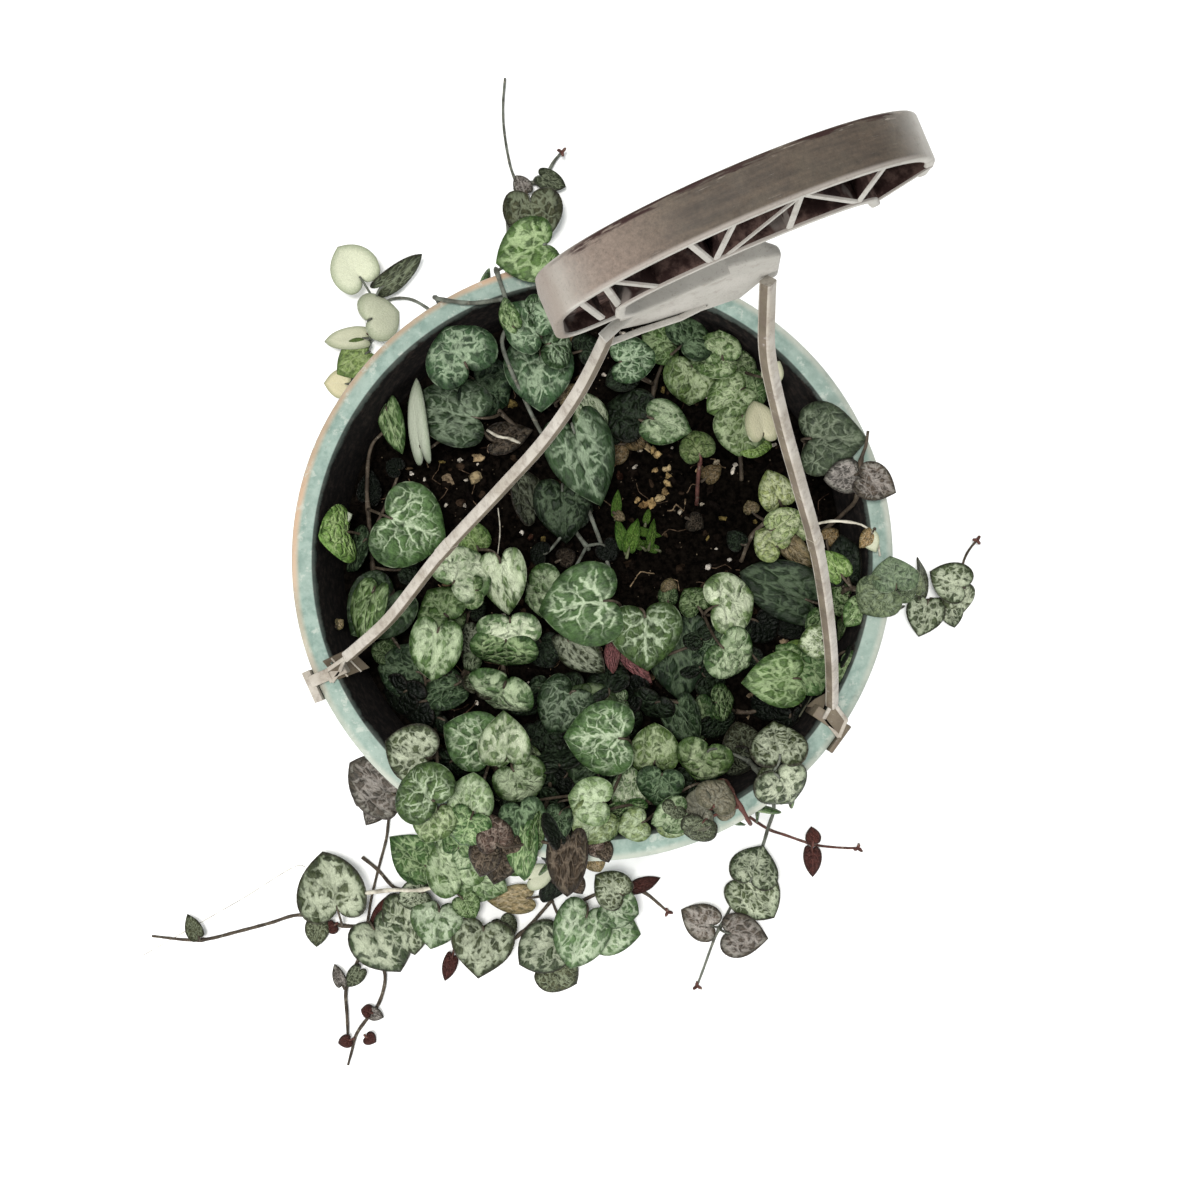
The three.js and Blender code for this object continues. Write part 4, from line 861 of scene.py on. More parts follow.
        "stems": [
            {"inside": [(612, 795, 91.5), (622, 780, 92.5), (630, 765, 94), (628, 748, 97)]},
            {"inside": [(640, 790, 91.5), (655, 788, 94), (668, 800, 99)]},
        ],
        "leaves": [
            (624, 738, 564, 738, 18, 106, "n"), (655, 764, 655, 724, 11.8, 101, "j"),
            (628, 802, 632, 768, 8.5, 104, "w"), (662, 772, 657, 808, 11, 106, "d"),
            (606, 802, 568, 797, 11.5, 114, "c"), (602, 812, 578, 843, 11, 113, "c"),
            (625, 803, 630, 824, 10, 104, "g"), (684, 812, 652, 824, 9, 112.5, "s"),
            (644, 822, 616, 830, 8, 112, "c"), (676, 806, 664, 822, 6, 112.5, "o"),
            (626, 700, 612, 702, 6, 97, "s"), (620, 782, 604, 776, 6, 97, "v"),
            (608, 826, 622, 832, 6, 110, "g"), (520, 806, 532, 848, 11, 111.5, "d"),
            (560, 812, 552, 844, 7.5, 113, "d-", 20), (596, 752, 578, 792, 12, 96, "d"),
            (636, 748, 640, 790, 12, 95, "v"), (590, 812, 604, 846, 10, 104, "d"),
            (672, 776, 688, 800, 9, 96, "v"), (700, 782, 716, 800, 9, 97, "v"),
            (560, 800, 542, 812, 10, 98, "v"), (664, 818, 690, 830, 7.5, 112, "c"),
        ],
    },
    "vine_lower_middle_left": {
        "stems": [
            {"inside": [(575, 745, 91.5), (585, 735, 92), (590, 715, 93)]},
        ],
        "leaves": [
            (602, 716, 564, 690, 13.5, 97, "g-"), (560, 764, 556, 740, 13, 93.5, "v"),
            (572, 690, 548, 732, 14, 98.5, "a-"), (548, 722, 552, 752, 9, 95.5, "v", 20),
            (575, 690, 556, 676, 8, 94, "v"), (545, 696, 528, 682, 8, 94, "k"),
            (566, 776, 546, 790, 8, 94, "k"), (600, 780, 584, 768, 8, 95, "v"),
            (530, 684, 540, 714, 10, 94, "d"), (540, 756, 566, 786, 12, 95, "v"),
            (610, 690, 596, 664, 11, 94, "v"), (618, 716, 632, 744, 11, 94.5, "v"),
            (584, 740, 570, 760, 10, 93, "k"), (516, 742, 530, 726, 9, 94, "v"),
        ],
    },
    "vine_lower_left": {
        "stems": [
            {"inside": [(497, 772, 91.5), (494, 762, 93), (492, 755, 95)]},
            {"inside": [(497, 772, 91.5), (512, 770, 93), (520, 755, 94)]},
        ],
        "leaves": [
            (487, 748, 444, 726, 14.5, 102, "n"), (507, 758, 503, 712, 12.2, 105, "w"),
            (502, 746, 500, 768, 6, 103, "s"), (512, 768, 535, 800, 12.3, 102, "s"),
            (470, 814, 473, 774, 11, 113, "c"), (480, 772, 492, 798, 5, 97, "v", 40),
            (524, 752, 540, 772, 6, 97, "j"), (462, 770, 448, 780, 7, 96, "k"),
            (530, 740, 546, 728, 7, 95, "v"), (472, 816, 458, 848, 11, 112.5, "g"),
            (498, 790, 480, 812, 10, 96, "v"), (452, 760, 436, 778, 10, 96, "v"),
            (512, 796, 530, 818, 10, 97, "v"), (470, 748, 476, 776, 10, 95, "v"),
            (440, 716, 424, 728, 9, 94, "v"),
        ],
    },
    "vine_left_lower": {
        "stems": [
            {"inside": [(446, 738, 91.5), (436, 728, 94), (430, 700, 94), (424, 682, 95)]},
        ],
        "leaves": [
            (420, 672, 378, 668, 12.5, 96, "d"), (428, 758, 385, 742, 13.5, 111.5, "e"),
            (436, 802, 404, 768, 15, 117, "n"), (390, 655, 372, 646, 6, 95, "g"),
            (446, 706, 436, 686, 7, 95, "k", 20), (424, 700, 396, 714, 12, 94, "k"),
            (408, 690, 384, 704, 11, 93, "k"), (366, 600, 350, 590, 8, 95, "d"),
            (452, 676, 440, 696, 9, 94, "o-"),
        ],
    },
    "vine_trailing_left": {
        "stems": [
            {
                "inside": [(459, 730, 91.5), (447, 755, 95)],
                "drape": -129.5, "pairs": [80, 42],
                "floor": [(393, 803), (386, 840), (378, 870), (371, 900), (367, 925, 2)],
            },
            {
                "floor": [
                    (367, 925), (345, 926), (300, 915, 2), (270, 923), (240, 931), (200, 940),
                    (160, 937), (152, 936),
                ],
            },
            {
                "floor": [
                    (367, 925), (372, 945), (385, 975), (378, 1005), (370, 1015), (356, 1035),
                    (352, 1050), (348, 1065),
                ],
            },
            {"floor": [(368, 935), (352, 975), (346, 990), (347, 1015), (348, 1040)]},
            {"floor": [(362, 857), (378, 870), (395, 888), (410, 890)]},
        ],
        "leaves": [
            (338, 911, 322, 854, 20, 8, "e"), (318, 922, 316, 947, 6.8, 3, "o"),
            (372, 925, 398, 974, 19, 6, "e"), (360, 970, 347, 987, 5, 4, "o"),
            (198, 936, 187, 915, 5, 3.5, "o"), (396, 796, 350, 764, 14, 85, "b"),
            (382, 798, 366, 825, 6.5, 80, "b"), (400, 790, 380, 804, 7, 84, "b"),
        ],
    },
    "vine_trailing_front_left": {
        "stems": [
            {
                "inside": [(491, 742, 91.5), (478, 765, 95)],
                "drape": -119.4, "pairs": [61],
                "floor": [(430, 870), (420, 900), (425, 925), (445, 930), (455, 945)],
            },
        ],
        "leaves": [
            (438, 808, 424, 842, 10, 113.5, "j"), (428, 868, 390, 838, 14, 8, "g"),
            (462, 882, 440, 836, 17, 14, "s"), (468, 872, 506, 892, 14, 10, "s"),
            (405, 900, 414, 955, 14, 6, "e"), (440, 908, 430, 950, 15, 9, "l"),
            (484, 926, 478, 978, 18.5, 8, "e"), (462, 898, 475, 918, 8, 10, "g"),
            (424, 892, 398, 902, 9, 9, "e"), (458, 850, 468, 818, 9, 60, "g"),
            (500, 920, 512, 940, 8, 5, "o"), (470, 850, 458, 870, 8, 30, "s"),
            (432, 872, 420, 890, 7, 7, "k"),
        ],
    },
    "vine_trailing_front": {
        "stems": [
            {
                "inside": [(548, 765, 91.5), (550, 790, 96)],
                "drape": -101, "pairs": [80, 42],
                "floor": [(549, 872), (552, 900), (565, 925), (590, 940)],
            },
            {"floor": [(552, 900), (530, 925), (508, 945), (505, 950)]},
            {
                "floor": [
                    (559, 914), (575, 905), (600, 893), (634, 890), (645, 893), (660, 905), (668, 912),
                ],
            },
        ],
        "leaves": [
            (497, 846, 490, 815, 9, 113.5, "x"), (524, 828, 522, 880, 9, 112, "g", 30),
            (562, 842, 548, 812, 8, 114, "k", 50), (570, 838, 566, 896, 9.5, 113, "y", 14),
            (528, 880, 555, 868, 7, 18, "p"), (530, 898, 488, 902, 9, 5, "t"),
            (558, 940, 520, 965, 15, 7, "e"), (548, 966, 577, 986, 13, 3.5, "o"),
            (588, 912, 570, 970, 17, 11, "l"), (598, 930, 640, 936, 15, 7, "l"),
            (605, 902, 638, 914, 12.5, 13, "l"), (622, 895, 596, 876, 11, 16, "e"),
            (488, 846, 478, 876, 9, 110, "y", 30), (502, 848, 494, 884, 9, 108, "y"),
            (508, 838, 512, 860, 6, 111, "y", 20), (534, 846, 540, 812, 5, 113, "g", 50),
            (556, 848, 540, 862, 8, 90, "k"), (590, 850, 600, 872, 6, 80, "t"),
            (552, 880, 566, 896, 12, 12, "k"), (520, 852, 508, 876, 8, 100, "g"),
        ],
    },
}


class Graph:
    """A material's nodes, added a call at a time round one Principled shader."""

    def __init__(self, name):
        self.material = bpy.data.materials.new(name)
        self.material.use_nodes = True
        self.tree = self.material.node_tree
        self.tree.nodes.clear()
        self.shader = self.tree.nodes.new("ShaderNodeBsdfPrincipled")
        output = self.tree.nodes.new("ShaderNodeOutputMaterial")
        self.tree.links.new(self.shader.outputs["BSDF"], output.inputs["Surface"])

    def feed(self, socket, value):
        if isinstance(value, bpy.types.NodeSocket):
            self.tree.links.new(value, socket)
        elif value is not None:
            socket.default_value = value

    def add(self, kind, inputs=(), **settings):
        node = self.tree.nodes.new(kind)
        for key, value in settings.items():
            setattr(node, key, value)
        for key, value in dict(inputs).items():
            self.feed(node.inputs[key], value)
        return node

    def math(self, operation, a, b=None, c=None):
        node = self.add("ShaderNodeMath", operation=operation)
        for socket, value in zip(node.inputs, (a, b, c)):
            self.feed(socket, value)
        return node.outputs[0]

    def times(self, a, b):
        return self.math("MULTIPLY", a, b)

    def scaled(self, value, scale, offset):
        return self.math("MULTIPLY_ADD", value, scale, offset)

    def step(self, low, high, value):
        """0 below low and 1 above high, smooth between them; falls if low is above high."""
        falls = not isinstance(low, bpy.types.NodeSocket) and low > high
        ends = (1.0, 0.0) if falls else (0.0, 1.0)
        span = (high, low) if falls else (low, high)
        node = self.add("ShaderNodeMapRange", interpolation_type="SMOOTHSTEP")
        for key, part in zip(("Value", "From Min", "From Max", "To Min", "To Max"), (value, *span, *ends)):
            self.feed(node.inputs[key], part)
        return node.outputs["Result"]

    def mix(self, factor, a, b, blend="MIX"):
        node = self.add("ShaderNodeMix", data_type="RGBA", blend_type=blend)
        for socket, value in zip((node.inputs[0], node.inputs[6], node.inputs[7]), (factor, a, b)):
            self.feed(socket, (*value, 1.0) if isinstance(value, tuple) and len(value) == 3 else value)
        return node.outputs[2]

    def tinted(self, colour, by):
        return self.mix(1.0, colour, by, "MULTIPLY")

    def paint(self, colour, tint, mask, share):
        """A colour with a tint over it where the mask is 1, as strong as the share."""
        return self.mix(self.times(mask, share), colour, tint)

    def mottled(self, colour, amount, pattern):
        """A colour multiplied by a grey pattern, by an amount."""
        return self.mix(amount, colour, self.tinted(colour, self.join(pattern, pattern, pattern)))

    def noise(self, vector, scale, detail=3.0, rough=0.55):
        inputs = {"Vector": vector, "Scale": scale, "Detail": detail, "Roughness": rough}
        return self.add("ShaderNodeTexNoise", inputs).outputs["Fac"]

    def spots(self, vector, scale, detail, low, high, rough=0.55):
        """Soft spots: 0 where a noise is below low, and 1 where it is above high."""
        return self.step(low, high, self.noise(vector, scale, detail, rough))

    def drift(self, vector, scale):
        """A vector that wanders from place to place, with zero in its middle."""
        inputs = {"Vector": vector, "Scale": scale, "Detail": 1.0}
        colour = self.add("ShaderNodeTexNoise", inputs).outputs["Color"]
        return self.shift(colour, (-0.5, -0.5, -0.5))

    def cells(self, vector, scale, feature="F1", output="Distance"):
        inputs = {"Vector": vector, "Scale": scale}
        return self.add("ShaderNodeTexVoronoi", inputs, feature=feature).outputs[output]

    def attribute(self, name, output="Vector"):
        return self.add("ShaderNodeAttribute", attribute_name=name).outputs[output]

    def split(self, vector):
        return self.add("ShaderNodeSeparateXYZ", {"Vector": vector}).outputs

    def join(self, x, y, z):
        return self.add("ShaderNodeCombineXYZ", {"X": x, "Y": y, "Z": z}).outputs[0]

    def vector(self, operation, a, b=None, scale=None):
        inputs = {0: a, "Scale": scale} if operation == "SCALE" else {0: a, 1: b}
        node = self.add("ShaderNodeVectorMath", inputs, operation=operation)
        return node.outputs["Value" if operation in ("DOT_PRODUCT", "DISTANCE", "LENGTH") else "Vector"]

    def shift(self, vector, by, scale=1.0):
        """A vector plus a scaled other one."""
        return self.vector("ADD", vector, self.vector("SCALE", by, scale=scale))

    def place(self):
        """The surface point in millimetres, in the part's frame."""
        point = self.add("ShaderNodeTexCoord").outputs["Object"]
        return self.vector("SCALE", point, scale=1 / MM)

    def bump(self, height, depth, strength):
        """A bump of the given depth in millimetres."""
        node = self.add("ShaderNodeBump", {"Height": height, "Distance": depth * MM, "Strength": strength})
        self.feed(self.shader.inputs["Normal"], node.outputs["Normal"])

    def finish(self, colour, roughness, specular, share=PAINT_SHARE):
        self.feed(self.shader.inputs["Base Color"], self.tinted(colour, (share, share, share)))
        self.feed(self.shader.inputs["Roughness"], roughness)
        self.shader.inputs["Specular IOR Level"].default_value = specular
        return self.material


class Build:
    """A mesh under way: corners in millimetres, faces with their material, and named attributes."""

    def __init__(self):
        self.points = []
        self.faces = []
        self.slots = []
        self.extras = {}

    def point(self, place, **extras):
        self.points.append(Vector(place) * MM)
        for key, value in extras.items():
            self.extras.setdefault(key, {})[len(self.points) - 1] = value
        return len(self.points) - 1

    def face(self, corners, slot=0):
        self.faces.append(corners)
        self.slots.append(slot)

    def strip(self, ring, other, slot=0):
        """Quads between two rings of corners."""
        for i in range(len(ring)):
            j = (i + 1) % len(ring)
            self.face((ring[i], ring[j], other[j], other[i]), slot)

    def fan(self, middle, ring, slot=0):
        """Triangles from a corner to the ring round it."""
        for a, b in zip(ring, ring[1:] + ring[:1]):
            self.face((middle, a, b), slot)

    def caps(self, rings, slot=0):
        """Closes both ends of a bar."""
        self.face(tuple(reversed(rings[0])), slot)
        self.face(tuple(rings[-1]), slot)

    def bar(self, rings, slot=0):
        """A closed bar through rings of corners."""
        for ring, other in zip(rings, rings[1:]):
            self.strip(ring, other, slot)
        self.caps(rings, slot)

    def object(self, name, materials, smooth_angle=None):
        mesh = bpy.data.meshes.new(name)
        mesh.from_pydata(self.points, [], self.faces)
        mesh.polygons.foreach_set("material_index", self.slots)
        for key, values in self.extras.items():
            sample = next(iter(values.values()))
            kind, size = ("FLOAT_COLOR", 4) if len(sample) == 4 else ("FLOAT_VECTOR", 3)
            flat = [0.0] * (size * len(self.points))
            for index, value in values.items():
                flat[index * size : index * size + size] = value
            made = mesh.attributes.new(key, kind, "POINT")
            made.data.foreach_set("color" if size == 4 else "vector", flat)
        mesh.validate()
        obj = bpy.data.objects.new(name, mesh)
        bpy.context.scene.collection.objects.link(obj)
        for material in materials:
            mesh.materials.append(material)
        mesh.shade_smooth()
        if smooth_angle is not None:
            mesh.set_sharp_from_angle(angle=math.radians(smooth_angle))
        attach(obj, BODY)
        return obj


def tube(build, path, radii, sides, slot=0, **extras):
    """A closed tube along a path, with a radius for each point of it."""
    along = (path[1] - path[0]).normalized()
    across = along.orthogonal().normalized()
    rings = []
    for i, centre in enumerate(path):
        ahead = (path[min(i + 1, len(path) - 1)] - path[max(i - 1, 0)]).normalized()
        across = along.rotation_difference(ahead) @ across
        along = ahead
        over = along.cross(across)
        ring = []
        for k in range(sides):
            turn = 2 * math.pi * k / sides
            offset = across * (math.cos(turn) * radii[i]) + over * (math.sin(turn) * radii[i])
            ring.append(build.point(centre + offset, **extras))
        rings.append(ring)
    build.bar(rings, slot)


def spline_point(points, share):
    """A point on the centripetal Catmull-Rom curve through the given points."""
    last = len(points) - 1
    at = share * last
    start = min(int(at), last - 1)
    weight = at - start
    b, c = points[start], points[start + 1]
    a = points[start - 1] if start > 0 else b * 2 - c
    d = points[start + 2] if start + 2 <= last else c * 2 - b
    gaps = [max(1e-4, (q - p).length) ** 0.5 for p, q in ((a, b), (b, c), (c, d))]
    leave = (b - a) / gaps[0] - (c - a) / (gaps[0] + gaps[1]) + (c - b) / gaps[1]
    arrive = (c - b) / gaps[1] - (d - b) / (gaps[1] + gaps[2]) + (d - c) / gaps[2]
    leave, arrive = leave * gaps[1], arrive * gaps[1]
    square = c * 3 - b * 3 - leave * 2 - arrive
    cube = b * 2 - c * 2 + leave + arrive
    return b + leave * weight + square * weight**2 + cube * weight**3


def even(points, count):
    """Points at even distances along a broken line."""
    lengths = [0.0]
    for a, b in zip(points, points[1:]):
        lengths.append(lengths[-1] + (b - a).length)
    out = []
    k = 0
    for i in range(count + 1):
        target = lengths[-1] * i / count
        while k < len(points) - 2 and lengths[k + 1] < target:
            k += 1
        span = max(1e-9, lengths[k + 1] - lengths[k])
        out.append(points[k].lerp(points[k + 1], min(1, max(0, (target - lengths[k]) / span))))
    return out


def spaced(points, step):
    """Evenly spaced points on the smooth curve through the given points."""
    fine = [spline_point(points, i / SPLINE_SAMPLES) for i in range(SPLINE_SAMPLES + 1)]
    length = sum((q - p).length for p, q in zip(fine, fine[1:]))
    return even(fine, math.ceil(length / step))


def bend(a, b, c, share):
    return a.lerp(b, share).lerp(b.lerp(c, share), share)


def quarter(start, corner, end, count):
    """The points of a bend from start to end."""
    return [bend(start, corner, end, k / count) for k in range(count + 1)]


# Plant
def heart_outline(rng):
    """The whole outline of a leaf, with each half a little unlike the other."""
    roundness = rng.uniform(*ROUNDNESS)
    halves = []
    for sign in (1, -1):
        bulge = 1 + rng.uniform(-BULGE, BULGE)
        lobe = rng.uniform(-LOBE, LOBE)
        points = []
        for u, pointed, full in HEART:
            back = lobe * smooth(*LOBE_REACH, u)
            points.append(Vector((u + back, (pointed + (full - pointed) * roundness) * bulge, 0)))
        half = [spline_point(points, i / HALF_STEPS) for i in range(HALF_STEPS + 1)]
        halves.append([(point.x, sign * point.y) for point in half])
    return halves[0] + halves[1][-2:0:-1]


class Leaf:
    """A leaf's own frame, the same as in the solids: its notch, size and three directions."""

    def __init__(self, notch, tip, width, roll, look, rng):
        flat = tip - notch
        self.length = max(flat.length, width / LEAF_WIDTH_SHARE)
        drop = math.sqrt(max(0.0, self.length**2 - flat.length_squared))
        if "+" in look:
            drop = -drop
        self.width = width
        self.start = notch + Vector((0, 0, drop / 2))
        self.along = Vector((flat.x, flat.y, flat.z - drop)).normalized()
        level = UP.cross(self.along).normalized()
        self.side = Quaternion(self.along, math.radians(roll)) @ level
        self.up = self.along.cross(self.side)
        self.look = look[0]
        self.in_pot = math.hypot(notch.x, notch.y) < INNER_TOP
        self.low = self.in_pot and notch.z < POT_HEIGHT - LOW_DROP
        self.seed = rng.uniform(0, 60)
        self.phase = rng.uniform(0, 2 * math.pi)
        self.wave = rng.uniform(*LEAF_WAVE)
        self.fold = rng.uniform(*LEAF_FOLD)
        self.droop = rng.uniform(*LEAF_DROOP)
        self.curl = rng.uniform(*LEAF_CURL)
        # Painted shade: a leaf whose look has a minus, and one deep in the pot, is made darker
        self.tone = rng.uniform(*LEAF_TONE) * (SHADE_DARK if "-" in look else 1)
        if self.in_pot:
            self.tone *= LOW_SHADE_TONE + (1 - LOW_SHADE_TONE) * smooth(*LOW_HEIGHTS, notch.z)
        self.warmth = rng.uniform(*LEAF_WARMTH)
        self.cells = rng.uniform(*NET_CELLS) * (FINER if self.look in FINE_LOOKS else 1)

    def point(self, u, v, lift=0.0, rim=0.0):
        """A point of the blade; a leaf low in the pot bends up where it meets the wall."""
        groove = math.sqrt(v * v + GROOVE_SOFT**2) - GROOVE_SOFT
        bow = self.fold * groove * self.width - self.droop * u * u * self.length
        bow += self.curl * rim**3 * self.width
        turn = math.atan2(v, u - LEAF_MIDDLE)
        ripple = self.wave * self.width * rim**3 * math.sin(3 * turn + self.phase)
        place = self.start + self.along * (u * self.length) + self.side * (v * self.width)
        place += self.up * (bow + lift + ripple)
        if not self.low or place.z > POT_HEIGHT:
            return place
        radius = math.hypot(place.x, place.y)
        past = radius - (inner_radius(place.z) - WALL_CLEAR - lift)
        if past > 0:
            share = (radius - past) / radius
            place = Vector((place.x * share, place.y * share, place.z + past))
        return place

    def clear_ground(self):
        """Lifts a leaf that would dip into the soil or the floor."""
        ground = (SOIL_TOP + 1 if self.in_pot else 0) + GROUND_CLEAR
        lowest = min(self.point(u, side * v, rim=1).z for u, _, v in HEART for side in (1, -1))
        self.start.z += max(0.0, ground - lowest)

    def make(self, build, outline):
        """Both faces of the blade in rings round its middle, and the edge between them."""
        cell, net, cover, veins, edge = LOOKS[self.look]
        tint = (self.tone * (1 + self.warmth), self.tone, self.tone * (1 - self.warmth))
        cell = [part * by for part, by in zip(cell, tint)]
        net = [part * self.tone**NET_TONE_POWER for part in net]
        looks = {"leaf_cell": (*cell, 1.0), "leaf_net": (*net, 1.0), "leaf_veins": (veins, self.cells, 0)}
        rims = []
        for sign, slot in ((1, TOP), (-1, UNDER)):
            corner = self.point(LEAF_MIDDLE, 0, sign * BLADE_HALF)
            place = (LEAF_MIDDLE, 0, self.seed)
            middle = build.point(corner, leaf_place=place, leaf_rim=(0, cover, edge), **looks)
            inner = None
            for rim in LEAF_RINGS:
                half = RIM_HALF + (BLADE_HALF - RIM_HALF) * math.sqrt(1 - rim**4)
                ring = []
                for u, v in outline:
                    across, over = LEAF_MIDDLE + (u - LEAF_MIDDLE) * rim, v * rim
                    wide = LEAF_MIDDLE + (across - LEAF_MIDDLE) * LEAF_GROWTH
                    corner = self.point(wide, over * LEAF_GROWTH, sign * half, rim)
                    place = (across, over, self.seed)
                    ring.append(build.point(corner, leaf_place=place, leaf_rim=(rim, cover, edge), **looks))
                if sign > 0:
                    ring.reverse()
                if inner is None:
                    build.fan(middle, ring, slot)
                else:
                    build.strip(ring, inner, slot)
                inner = ring
            rims.append(inner)
        build.strip(rims[1][::-1], rims[0], TOP)


def stalk_foot(leaf, joints):
    """The joint that a leaf's stalk starts from: the nearest one not level with the blade."""
    clear = []
    for joint in joints:
        offset = joint - leaf.start
        if offset.dot(leaf.along) < 0 or offset.dot(leaf.up) < -JOINT_DROP:
            clear.append(joint)
    return min(clear or joints, key=lambda joint: (joint - leaf.start).length)


def stem_points(stem, rooted):
    points = [seen(*place) for place in stem.get("inside", [])]
    if rooted:
        root = points.pop(0)
        points = [Vector((root.x, root.y, z)) for z in ROOT_HEIGHTS] + points
    if "drape" in stem:
        points += [around(stem["drape"], *place) for place in DRAPE[stem.get("skip", 0) :]]
    for x, y, *height in stem.get("floor", []):
        points.append(seen(x, y, height[0] if height else FLOOR_LIFT))
    return points


def drape_leaves(azimuth, z, rng):
    """Two leaves hanging from a draped stem, one to each side."""
    made = []
    for way in (-1, 1):
        lift = way * DRAPE_LEAF_STAGGER
        turn, radius = DRAPE_LEAF_NOTCH
        notch = around(azimuth + way * turn, radius, z + lift)
        turn, radius = DRAPE_LEAF_TIP
        low = z - DRAPE_LEAF_WIDTH * DRAPE_LEAF_HANG + lift
        tip = around(azimuth + way * turn, radius, low)
        look = rng.choice(DRAPE_LOOKS)
        made.append(Leaf(notch, tip, DRAPE_LEAF_WIDTH, way * DRAPE_LEAF_ROLL, look, rng))
    return made


def make_stalk(build, leaf, foot, tint):
    """A leaf's stalk, bent from its joint to the notch."""
    end = leaf.point(LEAF_NOTCH + STALK_OVERLAP, 0)
    behind = leaf.point(LEAF_NOTCH, 0) - leaf.along * (STALK_BEND * leaf.length)
    steps = max(5, round((foot - end).length / FINE_STEP))
    path = [bend(foot, behind, end, i / steps) for i in range(steps + 1)]
    thick, loss = STALK_TAPER
    radii = [STALK_RADIUS * (thick - loss * i / steps) for i in range(steps + 1)]
    tube(build, path, radii, STALK_SIDES, STEM, stem_tint=tint)


def make_stem(build, path, feet, tint):
    """A stem with a swelling at every joint that carries a leaf, thinner towards its end."""
    radii = []
    for i, point in enumerate(path):
        nearest = min((foot - point).length for foot in feet)
        knot = KNOT_SWELL * math.exp(-((nearest / KNOT_REACH) ** 2))
        taper = 1 - STEM_TAPER * smooth(STEM_TAPER_FROM, 1, i / len(path))
        radii.append(STEM_RADIUS * (taper + knot) * (1 + STEM_UNEVEN * math.sin(i * STEM_LUMPS)))
    tube(build, path, radii, STEM_SIDES, STEM, stem_tint=tint)


def make_vine(name, vine, materials):
    """One vine: its stems, leaves and stalks, in the place of its solid."""
    rng = random.Random(name)
    build = Build()
    tint = (*STEM_TINTS[vine.get("tint", "brown")], 1.0)
    joints = []
    paths = []
    for i, stem in enumerate(vine["stems"]):
        points = stem_points(stem, i == 0 or list(stem) == ["inside"])
        joints += spaced(points, RIM_STEP if "drape" in stem else STEM_STEP)[1:]
        paths.append(spaced(points, FINE_STEP))
    leaves = []
    for x1, y1, x2, y2, width, z, look, *roll in vine["leaves"]:
        leaf = Leaf(seen(x1, y1, z), seen(x2, y2, z), width, roll[0] if roll else 0, look, rng)
        leaf.clear_ground()
        leaves.append(leaf)
    for stem in vine["stems"]:
        for z in stem.get("pairs", []):
            leaves += drape_leaves(stem["drape"], z, rng)
    feet = [stalk_foot(leaf, joints) for leaf in leaves]
    for leaf, foot in zip(leaves, feet):
        leaf.make(build, heart_outline(rng))
        make_stalk(build, leaf, foot, tint)
    for path in paths:
        make_stem(build, path, feet, tint)
    obj = build.object(f"{name}_foliage", materials)
    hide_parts(name)


def vein_gap(g, point):
    """How far a point of a leaf lies outside its nearest vein."""
    nearest = None
    for start, end, thick, thin in VEINS:
        reach = Vector((*end, 0)) - Vector((*start, 0))
        away = g.vector("SUBTRACT", point, (*start, 0))
        share = g.vector("DOT_PRODUCT", away, tuple(reach / reach.length_squared))
        share = g.add("ShaderNodeClamp", {"Value": share}).outputs[0]
        on_vein = g.vector("SCALE", tuple(reach), scale=share)
        narrowing = (thick - thin) * VEIN_SHARE
        gap = g.scaled(share, narrowing, g.vector("DISTANCE", away, on_vein))
        gap = g.math("SUBTRACT", gap, thick * VEIN_SHARE)
        nearest = gap if nearest is None else g.math("MINIMUM", nearest, gap)
    return nearest


